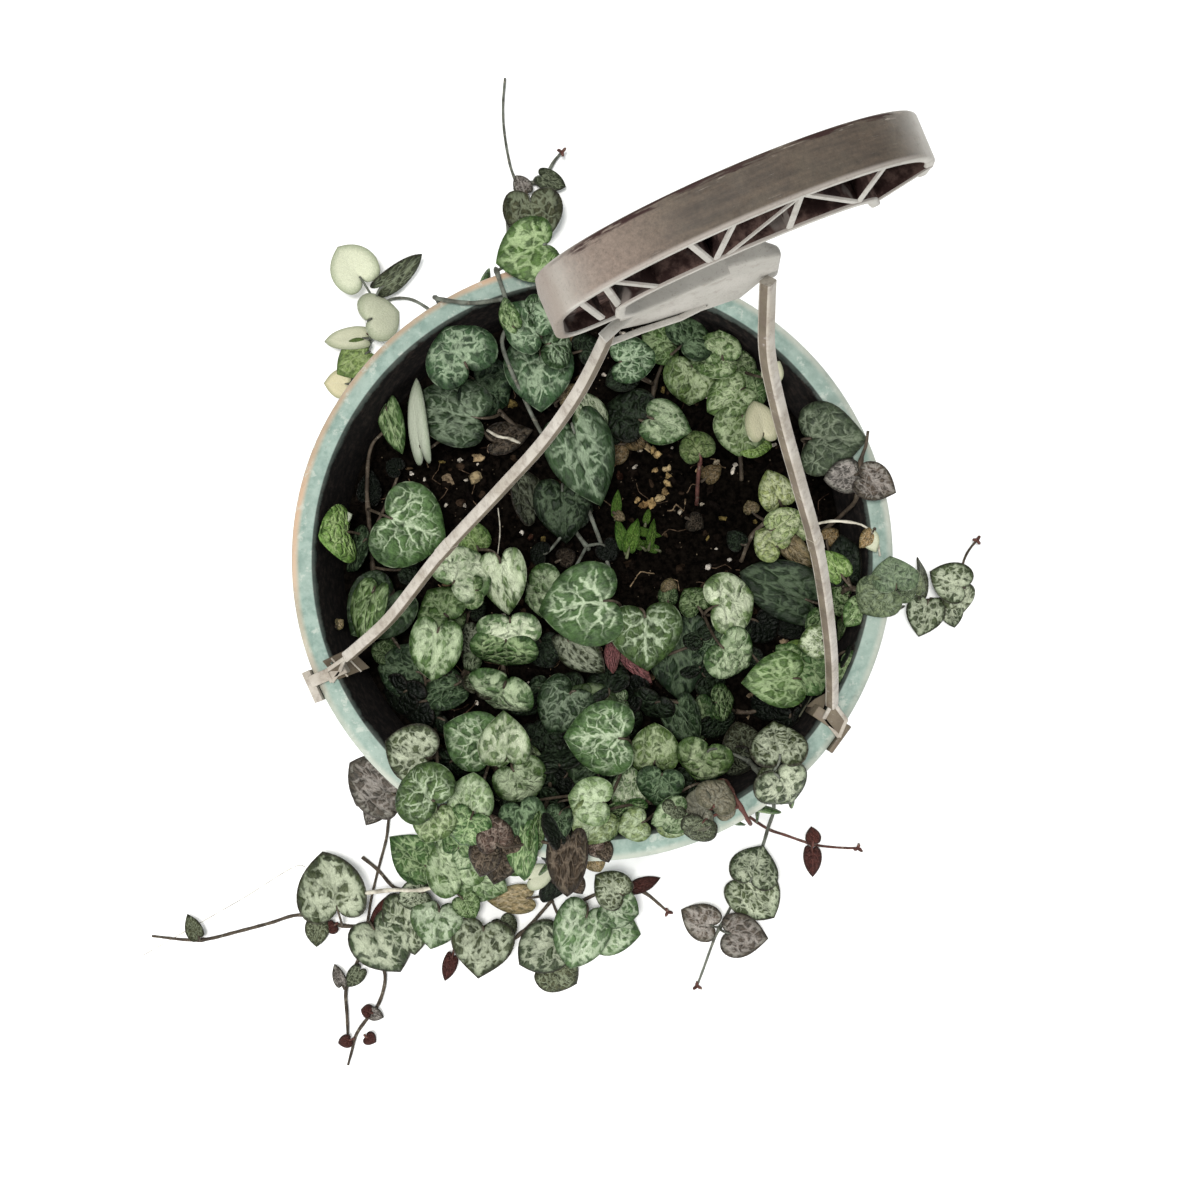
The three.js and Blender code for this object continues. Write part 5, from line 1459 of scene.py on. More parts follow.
def leaf_top_material():
    g = Graph("leaf_top")
    place = g.attribute("leaf_place")
    rim, cover, edge = g.split(g.attribute("leaf_rim"))
    clear_veins, cell_scale, _ = g.split(g.attribute("leaf_veins"))
    cell = g.attribute("leaf_cell", "Color")
    silver_colour = g.attribute("leaf_net", "Color")
    u, v, seed = g.split(place)
    seeded = g.join(u, v, g.scaled(v, 1.6, seed))
    grain = g.noise(seeded, 16.0, 4.0)
    patches = g.spots(seeded, 2.4, 2.0, 0.34, 0.66)
    # The veins bend from leaf to leaf and from side to side, and fade in places
    bent = g.shift(place, g.drift(seeded, 2.6), 0.24)
    bent = g.shift(bent, g.drift(seeded, 11.0), 0.07)
    bent_u, bent_v, _ = g.split(bent)
    gap = vein_gap(g, g.join(bent_u, g.math("ABSOLUTE", bent_v), 0.0))
    ragged = g.scaled(grain, 0.036, g.math("SUBTRACT", gap, 0.020))
    veins = g.times(g.step(0.016, -0.012, ragged), clear_veins)
    veins = g.times(veins, g.spots(seeded, 6.0, 2.0, 0.18, 0.58))
    # A net of closed cells between them; where a leaf is silver only soft round holes stay green
    wall = g.cells(bent, cell_scale, "DISTANCE_TO_EDGE")
    spread = g.times(g.times(cover, cover), 0.30)
    reach = g.scaled(spread, g.scaled(patches, 1.0, 0.4), 0.004)
    reach = g.scaled(g.math("SUBTRACT", grain, 0.5), 0.12, reach)
    net = g.step(0.095, -0.055, g.math("SUBTRACT", wall, reach))
    net = g.times(net, g.scaled(cover, 0.50, 0.42))
    clouded = g.split(g.cells(bent, cell_scale, "F1", "Color"))[0]
    clouded = g.times(g.times(clouded, g.times(cover, cover)), 0.66)
    clouded = g.times(clouded, g.math("SUBTRACT", 1.0, edge))
    small_wall = g.cells(bent, g.times(cell_scale, 2.7), "DISTANCE_TO_EDGE")
    small = g.times(g.step(0.18, 0.0, small_wall), g.times(cover, 0.20))
    net = g.math("MAXIMUM", net, g.math("MAXIMUM", clouded, small))
    net = g.times(net, g.scaled(patches, 0.55, 0.52))
    net = g.times(net, g.step(0.0, 0.2, cover))
    silver = g.math("MAXIMUM", veins, net)
    margin = g.scaled(cover, -0.10, rim)
    margin = g.scaled(g.math("SUBTRACT", patches, 0.5), -0.16, margin)
    margin = g.scaled(g.math("SUBTRACT", grain, 0.5), 0.30, margin)
    silver = g.times(silver, g.step(0.93, 0.70, margin))
    silver = g.times(silver, g.scaled(grain, 0.70, 0.62))
    # Cells darken and lighten softly, and the blade is painted darker towards its margin as shade
    dark, light = [g.tinted(cell, shade) for shade in CELL_SHADES]
    mottle = g.spots(seeded, 6.0, 4.0, 0.30, 0.68, 0.65)
    colour = g.mix(mottle, dark, light)
    colour = g.mix(g.step(0.30, 0.05, cover), colour, cell)
    colour = g.mix(silver, colour, silver_colour)
    margin_shading = g.scaled(grain, 0.24, rim)
    margin_shaded = g.tinted(colour, MARGIN_SHADE)
    colour = g.paint(colour, margin_shaded, g.step(0.74, 1.14, margin_shading), 0.70)
    speckle = g.scaled(g.noise(seeded, 42.0, 3.0, 0.7), 1.5, 0.25)
    colour = g.mottled(colour, 0.75, speckle)
    lit_edge = g.times(g.step(0.965, 0.99, rim), g.spots(seeded, 3.1, 2.0, 0.50, 0.66))
    colour = g.paint(colour, silver_colour, lit_edge, 0.40)
    dark_edge = g.times(g.step(0.90, 0.99, rim), edge)
    colour = g.paint(colour, EDGE_TINT, dark_edge, 0.75)
    rough = g.scaled(grain, 0.35, 0.34)
    furrow = g.times(g.step(0.06, -0.02, gap), -0.9)
    domes = g.scaled(g.step(0.0, 0.32, wall), 0.8, furrow)
    domes = g.times(domes, g.step(0.0, 0.3, cover))
    g.bump(g.scaled(grain, 0.5, domes), 0.50, 0.9)
    return g.finish(colour, rough, 0.16)


def leaf_under_material():
    g = Graph("leaf_under")
    place = g.attribute("leaf_place")
    pale = g.mix(0.5, g.attribute("leaf_cell", "Color"), UNDER_PALE)
    flush = g.spots(place, 2.5, 3.0, 0.4, 0.7)
    colour = g.paint(pale, UNDER_FLUSH, flush, 0.5)
    u, v, _ = g.split(place)
    gap = vein_gap(g, g.join(u, g.math("ABSOLUTE", v), 0.0))
    ridge = g.step(0.03, -0.01, gap)
    colour = g.paint(colour, UNDER_RIDGE, ridge, 0.35)
    g.bump(g.math("ADD", ridge, g.noise(place, 14.0, 4.0)), 0.15, 0.7)
    return g.finish(colour, 0.6, 0.15)


def stem_material():
    g = Graph("stem")
    place = g.place()
    tint = g.attribute("stem_tint", "Color")
    dark = g.tinted(tint, STEM_SHADE)
    colour = g.mix(g.spots(place, 0.35, 4.0, 0.35, 0.65), dark, tint)
    worn = g.spots(place, 0.9, 3.0, 0.56, 0.75)
    colour = g.paint(colour, STEM_WORN, worn, 0.6)
    g.bump(g.noise(place, 2.5, 4.0), 0.15, 0.7)
    return g.finish(colour, 0.65, 0.2)


# Pot
def rounded(corners):
    """A profile with its corners of the given radii rounded; a corner is x, y and radius."""
    out = []
    for i, (x, y, radius) in enumerate(corners):
        corner = Vector((x, y))
        if radius == 0 or i in (0, len(corners) - 1):
            out.append(corner)
            continue
        before = Vector(corners[i - 1][:2]) - corner
        after = Vector(corners[i + 1][:2]) - corner
        start = corner + before.normalized() * min(radius, before.length / 2)
        end = corner + after.normalized() * min(radius, after.length / 2)
        out += quarter(start, corner, end, CORNER_STEPS)
    return out


def refined(profile, longest):
    """A profile with its long edges cut into shorter ones."""
    out = [profile[0]]
    for a, b in zip(profile, profile[1:]):
        parts = max(1, math.ceil((b - a).length / longest))
        out += [a.lerp(b, k / parts) for k in range(1, parts + 1)]
    return out


def make_pot(material):
    """The pot: tapered wall, rolled lip with a skirt, and a foot with drain holes."""
    skirt = POT_HEIGHT - LIP_DROP
    # Each corner's radius, height and rounding, from the foot up and over the lip to the floor
    outline = [
        (FOOT_RADIUS - 5, 0, 0),
        (FOOT_RADIUS, 0, 1.6),
        (inner_radius(skirt + 3) + WALL, skirt + 3, 0.4),
        (RIM_RADIUS - WALL, skirt + 3, 0.4),
        (RIM_RADIUS - WALL, skirt, 0.3),
        (RIM_RADIUS, skirt, 0.7),
        (RIM_RADIUS, POT_HEIGHT - 1.2, 1.0),
        (RIM_RADIUS - 2.6, POT_HEIGHT, 1.4),
        (INNER_TOP, POT_HEIGHT, 0.9),
        (inner_radius(FLOOR_THICK), FLOOR_THICK, 2.0),
        (DRAIN_RING + DRAIN_RADIUS + 2, FLOOR_THICK, 0),
    ]
    profile = refined(rounded(outline), POT_EDGE)
    build = Build()
    rings = []
    for radius, z in profile:
        ring = []
        for i in range(POT_SIDES):
            azimuth = 360 * i / POT_SIDES
            sway = noise.noise(Vector((radius * 0.02, azimuth * 0.05, 1.7)))
            sway *= smooth(WOBBLE_FROM, POT_HEIGHT, z)
            ring.append(build.point(around(azimuth, radius + sway * RIM_WOBBLE, z)))
        rings.append(ring)
    for ring, other in zip(rings, rings[1:]):
        build.strip(ring, other)
    add_drained_floor(build, rings[-1], rings[0])
    obj = build.object("pot_shell", [material], 40)
    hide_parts("pot")


def add_drained_floor(build, upper_edge, lower_edge):
    """The foot inside the wall: two discs with drain holes through them."""
    holes = [around(45 + 360 / DRAINS * i, DRAIN_RING, 0) for i in range(DRAINS)]
    faces = {}
    for z, edge in ((FLOOR_THICK, upper_edge), (0, lower_edge)):
        sheet = bmesh.new()
        outer = [sheet.verts.new(build.points[index] / MM) for index in edge]
        loops = [outer]
        for hole in holes:
            ring = [around(360 * k / HOLE_SIDES, DRAIN_RADIUS, z) + hole for k in range(HOLE_SIDES)]
            loops.append([sheet.verts.new(place) for place in ring])
        edges = []
        for loop in loops:
            edges += [sheet.edges.new((a, b)) for a, b in zip(loop, loop[1:] + loop[:1])]
        bmesh.ops.triangle_fill(sheet, use_beauty=True, edges=edges)
        sheet.verts.index_update()
        bmesh.ops.recalc_face_normals(sheet, faces=sheet.faces)
        up = next(iter(sheet.faces)).normal.z > 0
        index_of = {vert: index for vert, index in zip(outer, edge)}
        rims = []
        for loop in loops[1:]:
            rims.append([build.point(vert.co) for vert in loop])
            index_of.update(zip(loop, rims[-1]))
        for face in sheet.faces:
            corners = [index_of[vert] for vert in face.verts]
            if up == (z == 0):
                corners.reverse()
            build.face(tuple(corners))
        faces[z] = rims
        sheet.free()
    for upper, lower in zip(faces[FLOOR_THICK], faces[0]):
        build.strip(upper, lower)


def pot_material():
    g = Graph("pot_plastic")
    place = g.place()
    x, y, z = g.split(place)
    streaked = g.vector("MULTIPLY", place, (1.0, 1.0, 0.07))
    radius = g.vector("LENGTH", g.join(x, y, 0.0))
    slope = inner_radius(1) - inner_radius(0)
    depth = g.math("SUBTRACT", radius, g.scaled(z, slope, inner_radius(0)))
    # Weathered teal plastic in vertical streaks
    streaks = g.noise(streaked, 0.35, 5.0, 0.65)
    teal = g.mix(g.step(0.32, 0.68, streaks), *TEAL)
    clouds = g.noise(place, 0.05, 3.0)
    teal = g.paint(teal, FADED_TEAL, g.step(0.42, 0.68, clouds), 0.65)
    # The lip's outer edge is bleached, with rusty stains
    high = g.step(POT_HEIGHT - 3.6, POT_HEIGHT - 0.6, z)
    edge = g.times(g.step(RIM_RADIUS - 2.4, RIM_RADIUS - 0.6, radius), high)
    patchy = g.spots(place, 0.045, 4.0, 0.38, 0.60)
    bleached = g.times(edge, g.scaled(patchy, 0.65, 0.3))
    # The rust and the tan are where the lip faces back and to the left
    back_left = g.step(15, 95, g.math("SUBTRACT", y, x))
    bleach = g.mix(back_left, *BLEACHED)
    colour = g.mix(bleached, teal, bleach)
    rusty = g.times(edge, g.spots(place, 0.11, 3.0, 0.55, 0.70))
    rusty = g.times(g.math("MAXIMUM", rusty, edge), g.scaled(back_left, 0.5, 0.08))
    colour = g.mix(rusty, colour, RUST)
    # Worn patches on the flat of the lip
    lip = g.times(high, g.spots(place, 0.30, 5.0, 0.54, 0.66, 0.7))
    colour = g.paint(colour, WORN_LIP, lip, 0.55)
    # Dark specks and dust all over; the inner wall near black with grime and painted shade, a little darker
    # below the lip
    specks = g.step(0.16, 0.07, g.cells(place, 0.22))
    rare = g.spots(place, 0.12, 1.0, 0.60, 0.66)
    colour = g.paint(colour, POT_SPECK, g.times(specks, rare), 0.85)
    dust = g.spots(place, 0.9, 6.0, 0.56, 0.74, 0.7)
    colour = g.paint(colour, POT_DUST, dust, 0.30)
    inside = g.step(0.9, 0.5, depth)
    smear = g.scaled(g.noise(streaked, 0.22, 5.0, 0.65), 6.0, POT_HEIGHT - 4.0)
    below = g.step(0.6, -0.8, g.math("SUBTRACT", z, smear))
    wall_grime_and_shade_tint = g.mix(g.spots(place, 0.5, 5.0, 0.42, 0.72, 0.7), *INNER_WALL_GRIME_AND_SHADE)
    inner_grime_and_shade = g.times(inside, g.scaled(below, 0.16, 0.84))
    colour = g.mix(inner_grime_and_shade, colour, wall_grime_and_shade_tint)
    rough = g.scaled(g.noise(streaked, 0.8, 4.0), 0.30, 0.38)
    rough = g.math("MAXIMUM", rough, inner_grime_and_shade)
    g.bump(g.math("ADD", g.noise(place, 0.8, 5.0, 0.7), g.times(streaks, 0.6)), 0.12, 0.7)
    return g.finish(colour, rough, 0.15)


# Soil
def soil_height(x, y):
    """The soil's broad swells, the same as in the solids."""
    broad = 0.6 * math.sin(0.21 * x + 0.6) * math.cos(0.17 * y)
    return SOIL_TOP + broad + 0.4 * math.sin(0.43 * y + 0.31 * x)


def soil_surface(x, y):
    """The soil's top with clods and crumbs on it."""
    place = Vector((x, y, 3.1))
    clods = noise.fractal(place * 0.16, 0.7, 2.1, 4)
    crumbs = noise.noise(place * 0.9) * 0.35 + noise.noise(place * 2.3) * 0.2
    edge = smooth(inner_radius(SOIL_TOP) - GAP, inner_radius(SOIL_TOP) - 8, math.hypot(x, y))
    return soil_height(x, y) * edge + SOIL_TOP * (1 - edge) + clods + crumbs


def ball_directions():
    """Corners and faces of an icosahedron, each face cut into four."""
    ball = bmesh.new()
    bmesh.ops.create_icosphere(ball, subdivisions=2, radius=1)
    corners = [vert.co.copy() for vert in ball.verts]
    faces = [tuple(vert.index for vert in face.verts) for face in ball.faces]
    ball.free()
    return corners, faces


def add_lump(build, ball, centre, size, turn, slot=0, rough=0.3, **extras):
    """A crumb: a ball squashed to a size, turned, and roughened by noise."""
    corners, faces = ball
    first = len(build.points)
    for corner in corners:
        dent = 1 + rough * noise.noise(corner * 1.3 + centre * 3.7)
        place = turn @ Vector([part * half for part, half in zip(corner * dent, size)])
        build.point(centre + place, **extras)
    for face in faces:
        build.face(tuple(first + index for index in face), slot)


def add_soil_bed(build, edge):
    """The soil's rough top, its side along the wall, and its flat underside."""
    tint = (*SOIL_TINT, 1.0)
    middle = build.point((0, 0, soil_surface(0, 0)), soil_tint=tint)
    previous = None
    for k in range(1, SOIL_RINGS + 1):
        radius = edge * (k / SOIL_RINGS) ** SOIL_RING_POWER
        ring = []
        for i in range(SOIL_SIDES):
            place = around(360 * i / SOIL_SIDES, radius, 0)
            place.z = soil_surface(place.x, place.y)
            ring.append(build.point(place, soil_tint=tint))
        if previous is None:
            build.fan(middle, ring)
        else:
            build.strip(ring, previous)
        previous = ring
    for z in (SOIL_TOP - SOIL_SIDE_DROP, SOIL_TOP / 2, FLOOR_THICK + GAP):
        radius = inner_radius(z) - GAP
        places = [around(360 * i / SOIL_SIDES, radius, z) for i in range(SOIL_SIDES)]
        ring = [build.point(place, soil_tint=tint) for place in places]
        build.strip(ring, previous)
        previous = ring
    build.face(tuple(reversed(previous)))


def add_grains(build, ball, rng, edge):
    """Bark, grit and perlite strewn over the soil, then the stones that the photograph shows."""
    tints = [part for part, _ in GRAIN_TINTS]
    shares = [share for _, share in GRAIN_TINTS]
    for _ in range(GRAINS):
        place = around(rng.uniform(0, 360), (edge - GRAIN_EDGE) * math.sqrt(rng.random()), 0)
        grain = rng.choices(tints, shares)[0]
        if grain[0] > PALE_GRAIN:
            long = rng.uniform(*PALE_LENGTH)
        else:
            long = rng.uniform(*GRAIN_LENGTH) * rng.uniform(*GRAIN_SPREAD)
        size = Vector((long, long * rng.uniform(*GRAIN_BREADTH), long * rng.uniform(*GRAIN_HEIGHT)))
        turn = Quaternion(UP, rng.uniform(0, ONE_TURN))
        turn = turn @ Quaternion((1, 0, 0), rng.uniform(*GRAIN_TILT))
        place.z = soil_surface(place.x, place.y) + size.z * rng.uniform(*GRAIN_LIFT)
        shade = rng.uniform(*GRAIN_SHADE)
        colour = tuple(min(GRAIN_BRIGHTEST, part * shade) for part in grain)
        add_lump(build, ball, place, size, turn.to_matrix(), rough=GRAIN_ROUGH, soil_tint=(*colour, 1.0))
    breadth, height = PEBBLE_SHARES
    for x, y, half, grain in PEBBLES:
        place = seen(x, y, SOIL_TOP + 1)
        place.z = soil_surface(place.x, place.y) + half / 2
        size = Vector((half, half * breadth, half * height))
        turn = Quaternion(UP, rng.uniform(0, ONE_TURN)).to_matrix()
        add_lump(build, ball, place, size, turn, rough=PEBBLE_ROUGH, soil_tint=(*grain, 1.0))


def add_fibres(build, rng, edge):
    """Thin dry fibres lying bent on the soil."""
    for _ in range(FIBRES):
        start = around(rng.uniform(0, 360), (edge - FIBRE_EDGE) * math.sqrt(rng.random()), 0)
        heading = rng.uniform(0, 360)
        length = rng.uniform(*FIBRE_LENGTH)
        points = []
        for k in range(FIBRE_BENDS + 1):
            bent = heading + rng.uniform(*FIBRE_TURN)
            place = start + around(bent, length * k / FIBRE_BENDS, 0)
            place.z = soil_surface(place.x, place.y) + rng.uniform(*FIBRE_LIFT)
            points.append(place)
        path = [spline_point(points, k / FIBRE_STEPS) for k in range(FIBRE_STEPS + 1)]
        radius = rng.uniform(*FIBRE_RADIUS)
        tint = (*rng.choice(FIBRE_TINTS), 1.0)
        tube(build, path, [radius] * len(path), FIBRE_SIDES, soil_tint=tint)


def make_soil(material, ball):
    rng = random.Random("soil")
    build = Build()
    edge = inner_radius(SOIL_TOP) - GAP
    add_soil_bed(build, edge)
    add_grains(build, ball, rng, edge)
    add_fibres(build, rng, edge)
    obj = build.object("soil_crumbs", [material], 60)
    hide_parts("soil")


def soil_material():
    g = Graph("soil")
    place = g.place()
    tint = g.attribute("soil_tint", "Color")
    coarse = g.spots(place, 0.7, 6.0, 0.35, 0.68, 0.7)
    dark, light = [g.tinted(tint, shade) for shade in SOIL_SHADES]
    colour = g.mix(coarse, dark, light)
    grit = g.times(g.step(0.22, 0.10, g.cells(place, 0.75)), g.spots(place, 0.5, 2.0, 0.58, 0.66))
    colour = g.paint(colour, GRIT_TINT, grit, 0.65)
    g.bump(g.noise(place, 1.6, 6.0, 0.75), 0.5, 0.9)
    return g.finish(colour, 0.95, 0.01)


# Hanger
def ellipse_top(ellipse, count):
    """The upper half of an ellipse, from its left end to its right end."""
    centre, half_x, half_y = ellipse
    out = []
    for k in range(count + 1):
        turn = math.pi * (1 - k / count)
        out.append(Vector((centre[0] + half_x * math.cos(turn), centre[1] + half_y * math.sin(turn))))
    return out


def ellipse_at(ellipse, x, lower):
    """The point of an ellipse's upper half at x, moved down a little."""
    centre, half_x, half_y = ellipse
    share = (x - centre[0]) / half_x
    return Vector((x, centre[1] + half_y * math.sqrt(max(0.0, 1 - share * share)) - lower))


def hook_edges(count):
    """The hook's outer and inner edges as seen from the front, from the hub round to the tip."""
    edges = []
    for start, turn, arch, tip in HOOK_EDGES:
        points = [Vector(start)]
        points += quarter(*[Vector(place) for place in turn], BEND_STEPS)
        points += ellipse_top(arch, ARCH_STEPS)
        points.append(Vector(tip))
        edges.append(even(points, count))
    return edges


def on_hook(point, out):
    """A point of the hook's plane, moved out to the front by a distance."""
    return HOOK_PLACE + ACROSS * point.x + Vector((0, 0, point.y)) + FRONT * out


def soft_box(half_x, half_y, radius):
    """A rectangle with round corners, counterclockwise."""
    out = []
    for sx, sy, start in ((1, 1, 0), (-1, 1, 90), (-1, -1, 180), (1, -1, 270)):
        for k in range(BOX_STEPS + 1):
            turn = math.radians(start + 90 * k / BOX_STEPS)
            out.append((
                sx * (half_x - radius) + radius * math.cos(turn),
                sy * (half_y - radius) + radius * math.sin(turn),
            ))
    return out


def rod_frames(points, first_side):
    """Frames along a path, turning as little as they can."""
    frames = []
    side = first_side
    for i, point in enumerate(points):
        along = (points[min(i + 1, len(points) - 1)] - points[max(i - 1, 0)]).normalized()
        side = (side - along * side.dot(along)).normalized()
        frames.append((point, side, along.cross(side)))
    return frames


def sweep(build, frames, section, hollow=()):
    """A closed bar: a section carried along frames of centre, side, over and scale."""
    rings = []
    for centre, side, over, *scale in frames:
        size = scale[0] if scale else 1
        rings.append([build.point(centre + (side * x + over * y) * size) for x, y in section])
    count = len(section)
    for ring, other in zip(rings, rings[1:]):
        for i in range(count):
            j = (i + 1) % count
            build.face((ring[i], ring[j], other[j], other[i]), HOLLOW if i in hollow else 0)
    build.caps(rings)


def block(bottom, top, low, high):
    """A bmesh block between two corner lists, one above the other."""
    source = bmesh.new()
    under = [source.verts.new((x, y, low)) for x, y in bottom]
    over = [source.verts.new((x, y, high)) for x, y in top]
    source.faces.new(tuple(reversed(under)))
    source.faces.new(over)
    for i in range(len(under)):
        j = (i + 1) % len(under)
        source.faces.new((under[i], under[j], over[j], over[i]))
    return source


def plate(outline, low, high, matrix):
    """A bmesh plate with the given outline, moved by a matrix."""
    source = block(outline, outline, low, high)
    bmesh.ops.transform(source, matrix=matrix, verts=source.verts)
    return source


def slab(corners, thick):
    """A bmesh plate with the given upper corners in space."""
    source = bmesh.new()
    normal = (corners[1] - corners[0]).cross(corners[2] - corners[0]).normalized()
    if normal.z < 0:
        normal = -normal
    over = [source.verts.new(corner) for corner in corners]
    under = [source.verts.new(corner - normal * thick) for corner in corners]
    source.faces.new(over)
    source.faces.new(tuple(reversed(under)))
    for i in range(len(corners)):
        j = (i + 1) % len(corners)
        source.faces.new((over[i], over[j], under[j], under[i]))
    return source


def add_soft(build, source, offset, segments=3, slot=0):
    """Adds a bmesh with its sharp edges rounded."""
    bmesh.ops.recalc_face_normals(source, faces=source.faces)
    sharp = [edge for edge in source.edges if edge.calc_face_angle(0) > SHARP]
    bmesh.ops.bevel(source, geom=sharp, offset=offset, segments=segments, profile=0.5, affect="EDGES")
    first = len(build.points)
    for vert in source.verts:
        build.point(vert.co)
    source.verts.index_update()
    for face in source.faces:
        build.face(tuple(first + vert.index for vert in face.verts), slot + face.material_index)
    source.free()


def add_rib(build, foot, head, thick, low, foot_high, head_high):
    """A rib across the hook's hollow, whose front edge may slope from its head to its foot."""
    start, end = on_hook(foot, 0), on_hook(head, 0)
    along = (end - start).normalized()
    over = along.cross(FRONT)
    length = (end - start).length
    outline = [(0, low), (length, low), (length, head_high), (0, foot_high)]
    place = Matrix.Translation(start) @ Matrix((along, FRONT, over)).transposed().to_4x4()
    source = plate(outline, -thick / 2, thick / 2, place)
    source.normal_update()
    for face in source.faces:
        if abs(face.normal.dot(over)) > 0.9:
            face.material_index = HOLLOW
    add_soft(build, source, CLIP_EDGE, 1)


def add_rod(build, start, end, thick):
    """A straight square rod with soft corners."""
    line = [start.lerp(end, k / ROD_STEPS) for k in range(ROD_STEPS + 1)]
    lean = UP.cross(end - start)
    sweep(build, rod_frames(line, lean), soft_box(thick / 2, thick / 2, thick * ROD_CORNER_SHARE))


def make_hook(build):
    """The hook: a web between two flanges, with zig-zag ribs on both faces."""
    count = HOOK_STATIONS
    outer, inner = hook_edges(count)
    # The flanges' sides facing the hollow, the web and the ribs' sides take the hollow's dirt and painted
    # shade
    for edge, other, proud in ((outer, inner, 0), (inner, outer, INNER_PROUD)):
        frames = []
        for i, point in enumerate(edge):
            along = (edge[min(i + 1, count)] - edge[max(i - 1, 0)]).normalized()
            inward = Vector((-along.y, along.x))
            if inward.dot(other[i] - point) < 0:
                inward = -inward
            lift = Vector((0, 0, inward.y)) + ACROSS * inward.x
            centre = on_hook(point + inward * (FLANGE_THICK / 2), proud / 2)
            frames.append((centre, FRONT, lift))
        if edge is inner:
            frames.reverse()
        section = soft_box((FLANGE_WIDTH + proud) / 2, FLANGE_THICK / 2, FLANGE_CORNER)
        sweep(build, frames, section, (UPPER_SIDE,))
    rings = []
    for i in range(count + 1):
        a, b = outer[i], inner[i]
        front = [on_hook(a.lerp(b, share), WEB_THICK / 2) for share in WEB_SHARES]
        back = [on_hook(b.lerp(a, share), -WEB_THICK / 2) for share in WEB_SHARES]
        rings.append([build.point(place) for place in front + back])
    build.bar(rings, HOLLOW)
    half = FLANGE_WIDTH / 2
    front = half + INNER_PROUD
    add_rib(build, inner[-LAST_RIB], outer[-LAST_RIB], FLANGE_THICK, -half, front, half)
    behind, at_foot, at_head = RIB_SHY
    for at_outer, x, y in RIBS:
        head = ellipse_at(HOOK_OUTER, at_outer, FLANGE_THICK * RIB_BITE)
        add_rib(build, Vector((x, y)), head, RIB_THICK, behind - half, front - at_foot, half - at_head)


def make_hub(material, hollow_dirt_and_shade):
    """The hub with the arms' lugs and the hook, moulded in one piece."""
    build = Build()
    add_soft(build, block(HUB_FOOT, HUB_HEAD, HUB_BOTTOM, HUB_TOP), HUB_EDGE)
    for side, thick in LUG_SIDES.items():
        end = ARM_PATHS[side][-1]
        target = end.lerp(Vector((*HUB_MIDDLE, end.z)), LUG_REACH)
        line = [end.lerp(target, k / LUG_STEPS) for k in range(-1, LUG_STEPS + 1)]
        sweep(build, rod_frames(line, UP), soft_box(thick / 2, thick / 2, LUG_CORNER))
    sweep(build, rod_frames(GUSSET, UP), soft_box(*GUSSET_HALVES, GUSSET_CORNER))
    make_hook(build)
    obj = build.object("hanger_hook_moulding", [material, hollow_dirt_and_shade], 35)
    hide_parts("hanger_hook")


def clip_profile():
    """The rim clip as cut through: over the lip, down both sides, with a barb under the skirt."""
    top = POT_HEIGHT + GAP
    over = top + CLIP_THICK
    low = POT_HEIGHT - LIP_DROP
    skirt = low - GAP
    near = RIM_RADIUS + CLIP_GAP
    far = near + CLIP_THICK
    inside = inner_radius(low) - GAP
    barb, barb_gap, barb_drop = BARB
    return [
        (inside - CLIP_THICK, low),
        (inside, low),
        (INNER_TOP - CLIP_LEAN, top),
        (near, top),
        (near, skirt),
        (near - barb, skirt),
        (near - barb_gap, skirt - barb_drop),
        (far, skirt - TAB_DROP),
        (far, over - CHAMFER),
        (far - CHAMFER, over),
        (INNER_TOP - CLIP_LEAN - CLIP_THICK, over),
    ]


def tab_profile(thick):
    """The clip's broad outer leg alone."""
    low = POT_HEIGHT - LIP_DROP - GAP - TAB_DROP
    near = RIM_RADIUS + CLIP_GAP
    far = near + thick
    high = POT_HEIGHT + GAP + CLIP_THICK - CHAMFER
    return [(near, low), (far, low), (far, high - CHAMFER), (far - CHAMFER, high), (near, high)]


def make_arm(side, material, wing_material):
    """An arm from the hub down to its forked foot, with its rim clip and its wing."""
    build = Build()
    path = ARM_PATHS[side]
    foot_scale, head_scale = ARM_TAPERS[side]
    points = [spline_point(path, k / ARM_STEPS) for k in range(ARM_STEPS + 1)]
    frames = []
    for k, frame in enumerate(rod_frames(points, UP.cross(path[0]))):
        frames.append((*frame, foot_scale + (head_scale - foot_scale) * k / ARM_STEPS))
    section = soft_box(ARM_SIDE / 2, ARM_SIDE / 2, ARM_CORNER)
    # One side of the arm takes the wing's brown, as grime and painted shade
    sweep(build, frames, section, ARM_GRIME_AND_SHADE_SIDES[side])
    # A moulding nub, a little proud of the arm
    nub = [(*frame, size * NUB_SCALE) for *frame, size in frames[NUB_AT : NUB_AT + NUB_LONG]]
    sweep(build, nub, section, ARM_GRIME_AND_SHADE_SIDES[side])
    # The foot: a frame with a thin brown web in it
    kite = KITES[side]
    for a, b in zip(kite, kite[1:] + kite[:1]):
        add_rod(build, a, b, KITE_SIDE)
    add_soft(build, slab(kite, KITE_WEB), WEB_EDGE, 1, slot=1)
    stand_up = Matrix.Rotation(math.pi / 2, 4, "X")
    bridge = Matrix.Rotation(math.radians(CLIP_AZIMUTHS[side]), 4, "Z") @ stand_up
    tab = Matrix.Rotation(math.radians(TAB_AZIMUTHS[side]), 4, "Z") @ stand_up
    dark = 1 if side == DARK_CLIP else 0
    for outline, half, place in (
        (clip_profile(), BRIDGE_HALF, bridge),
        (tab_profile(TAB_THICKS[side]), CLIP_WIDTH / 2, tab),
    ):
        add_soft(build, plate(outline, -half, half, place), CLIP_EDGE, 2, slot=dark)
    wing = WINGS[side]
    add_soft(build, slab(wing, WING_THICK), WEB_EDGE, 1, slot=1)
    for share in WING_RIBS[side]:
        add_rod(build, wing[0].lerp(wing[1], share), wing[3].lerp(wing[2], share), WING_RIB)
    obj = build.object(f"hanger_arm_{side}_moulding", [material, wing_material], 35)
    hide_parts(f"hanger_arm_{side}")


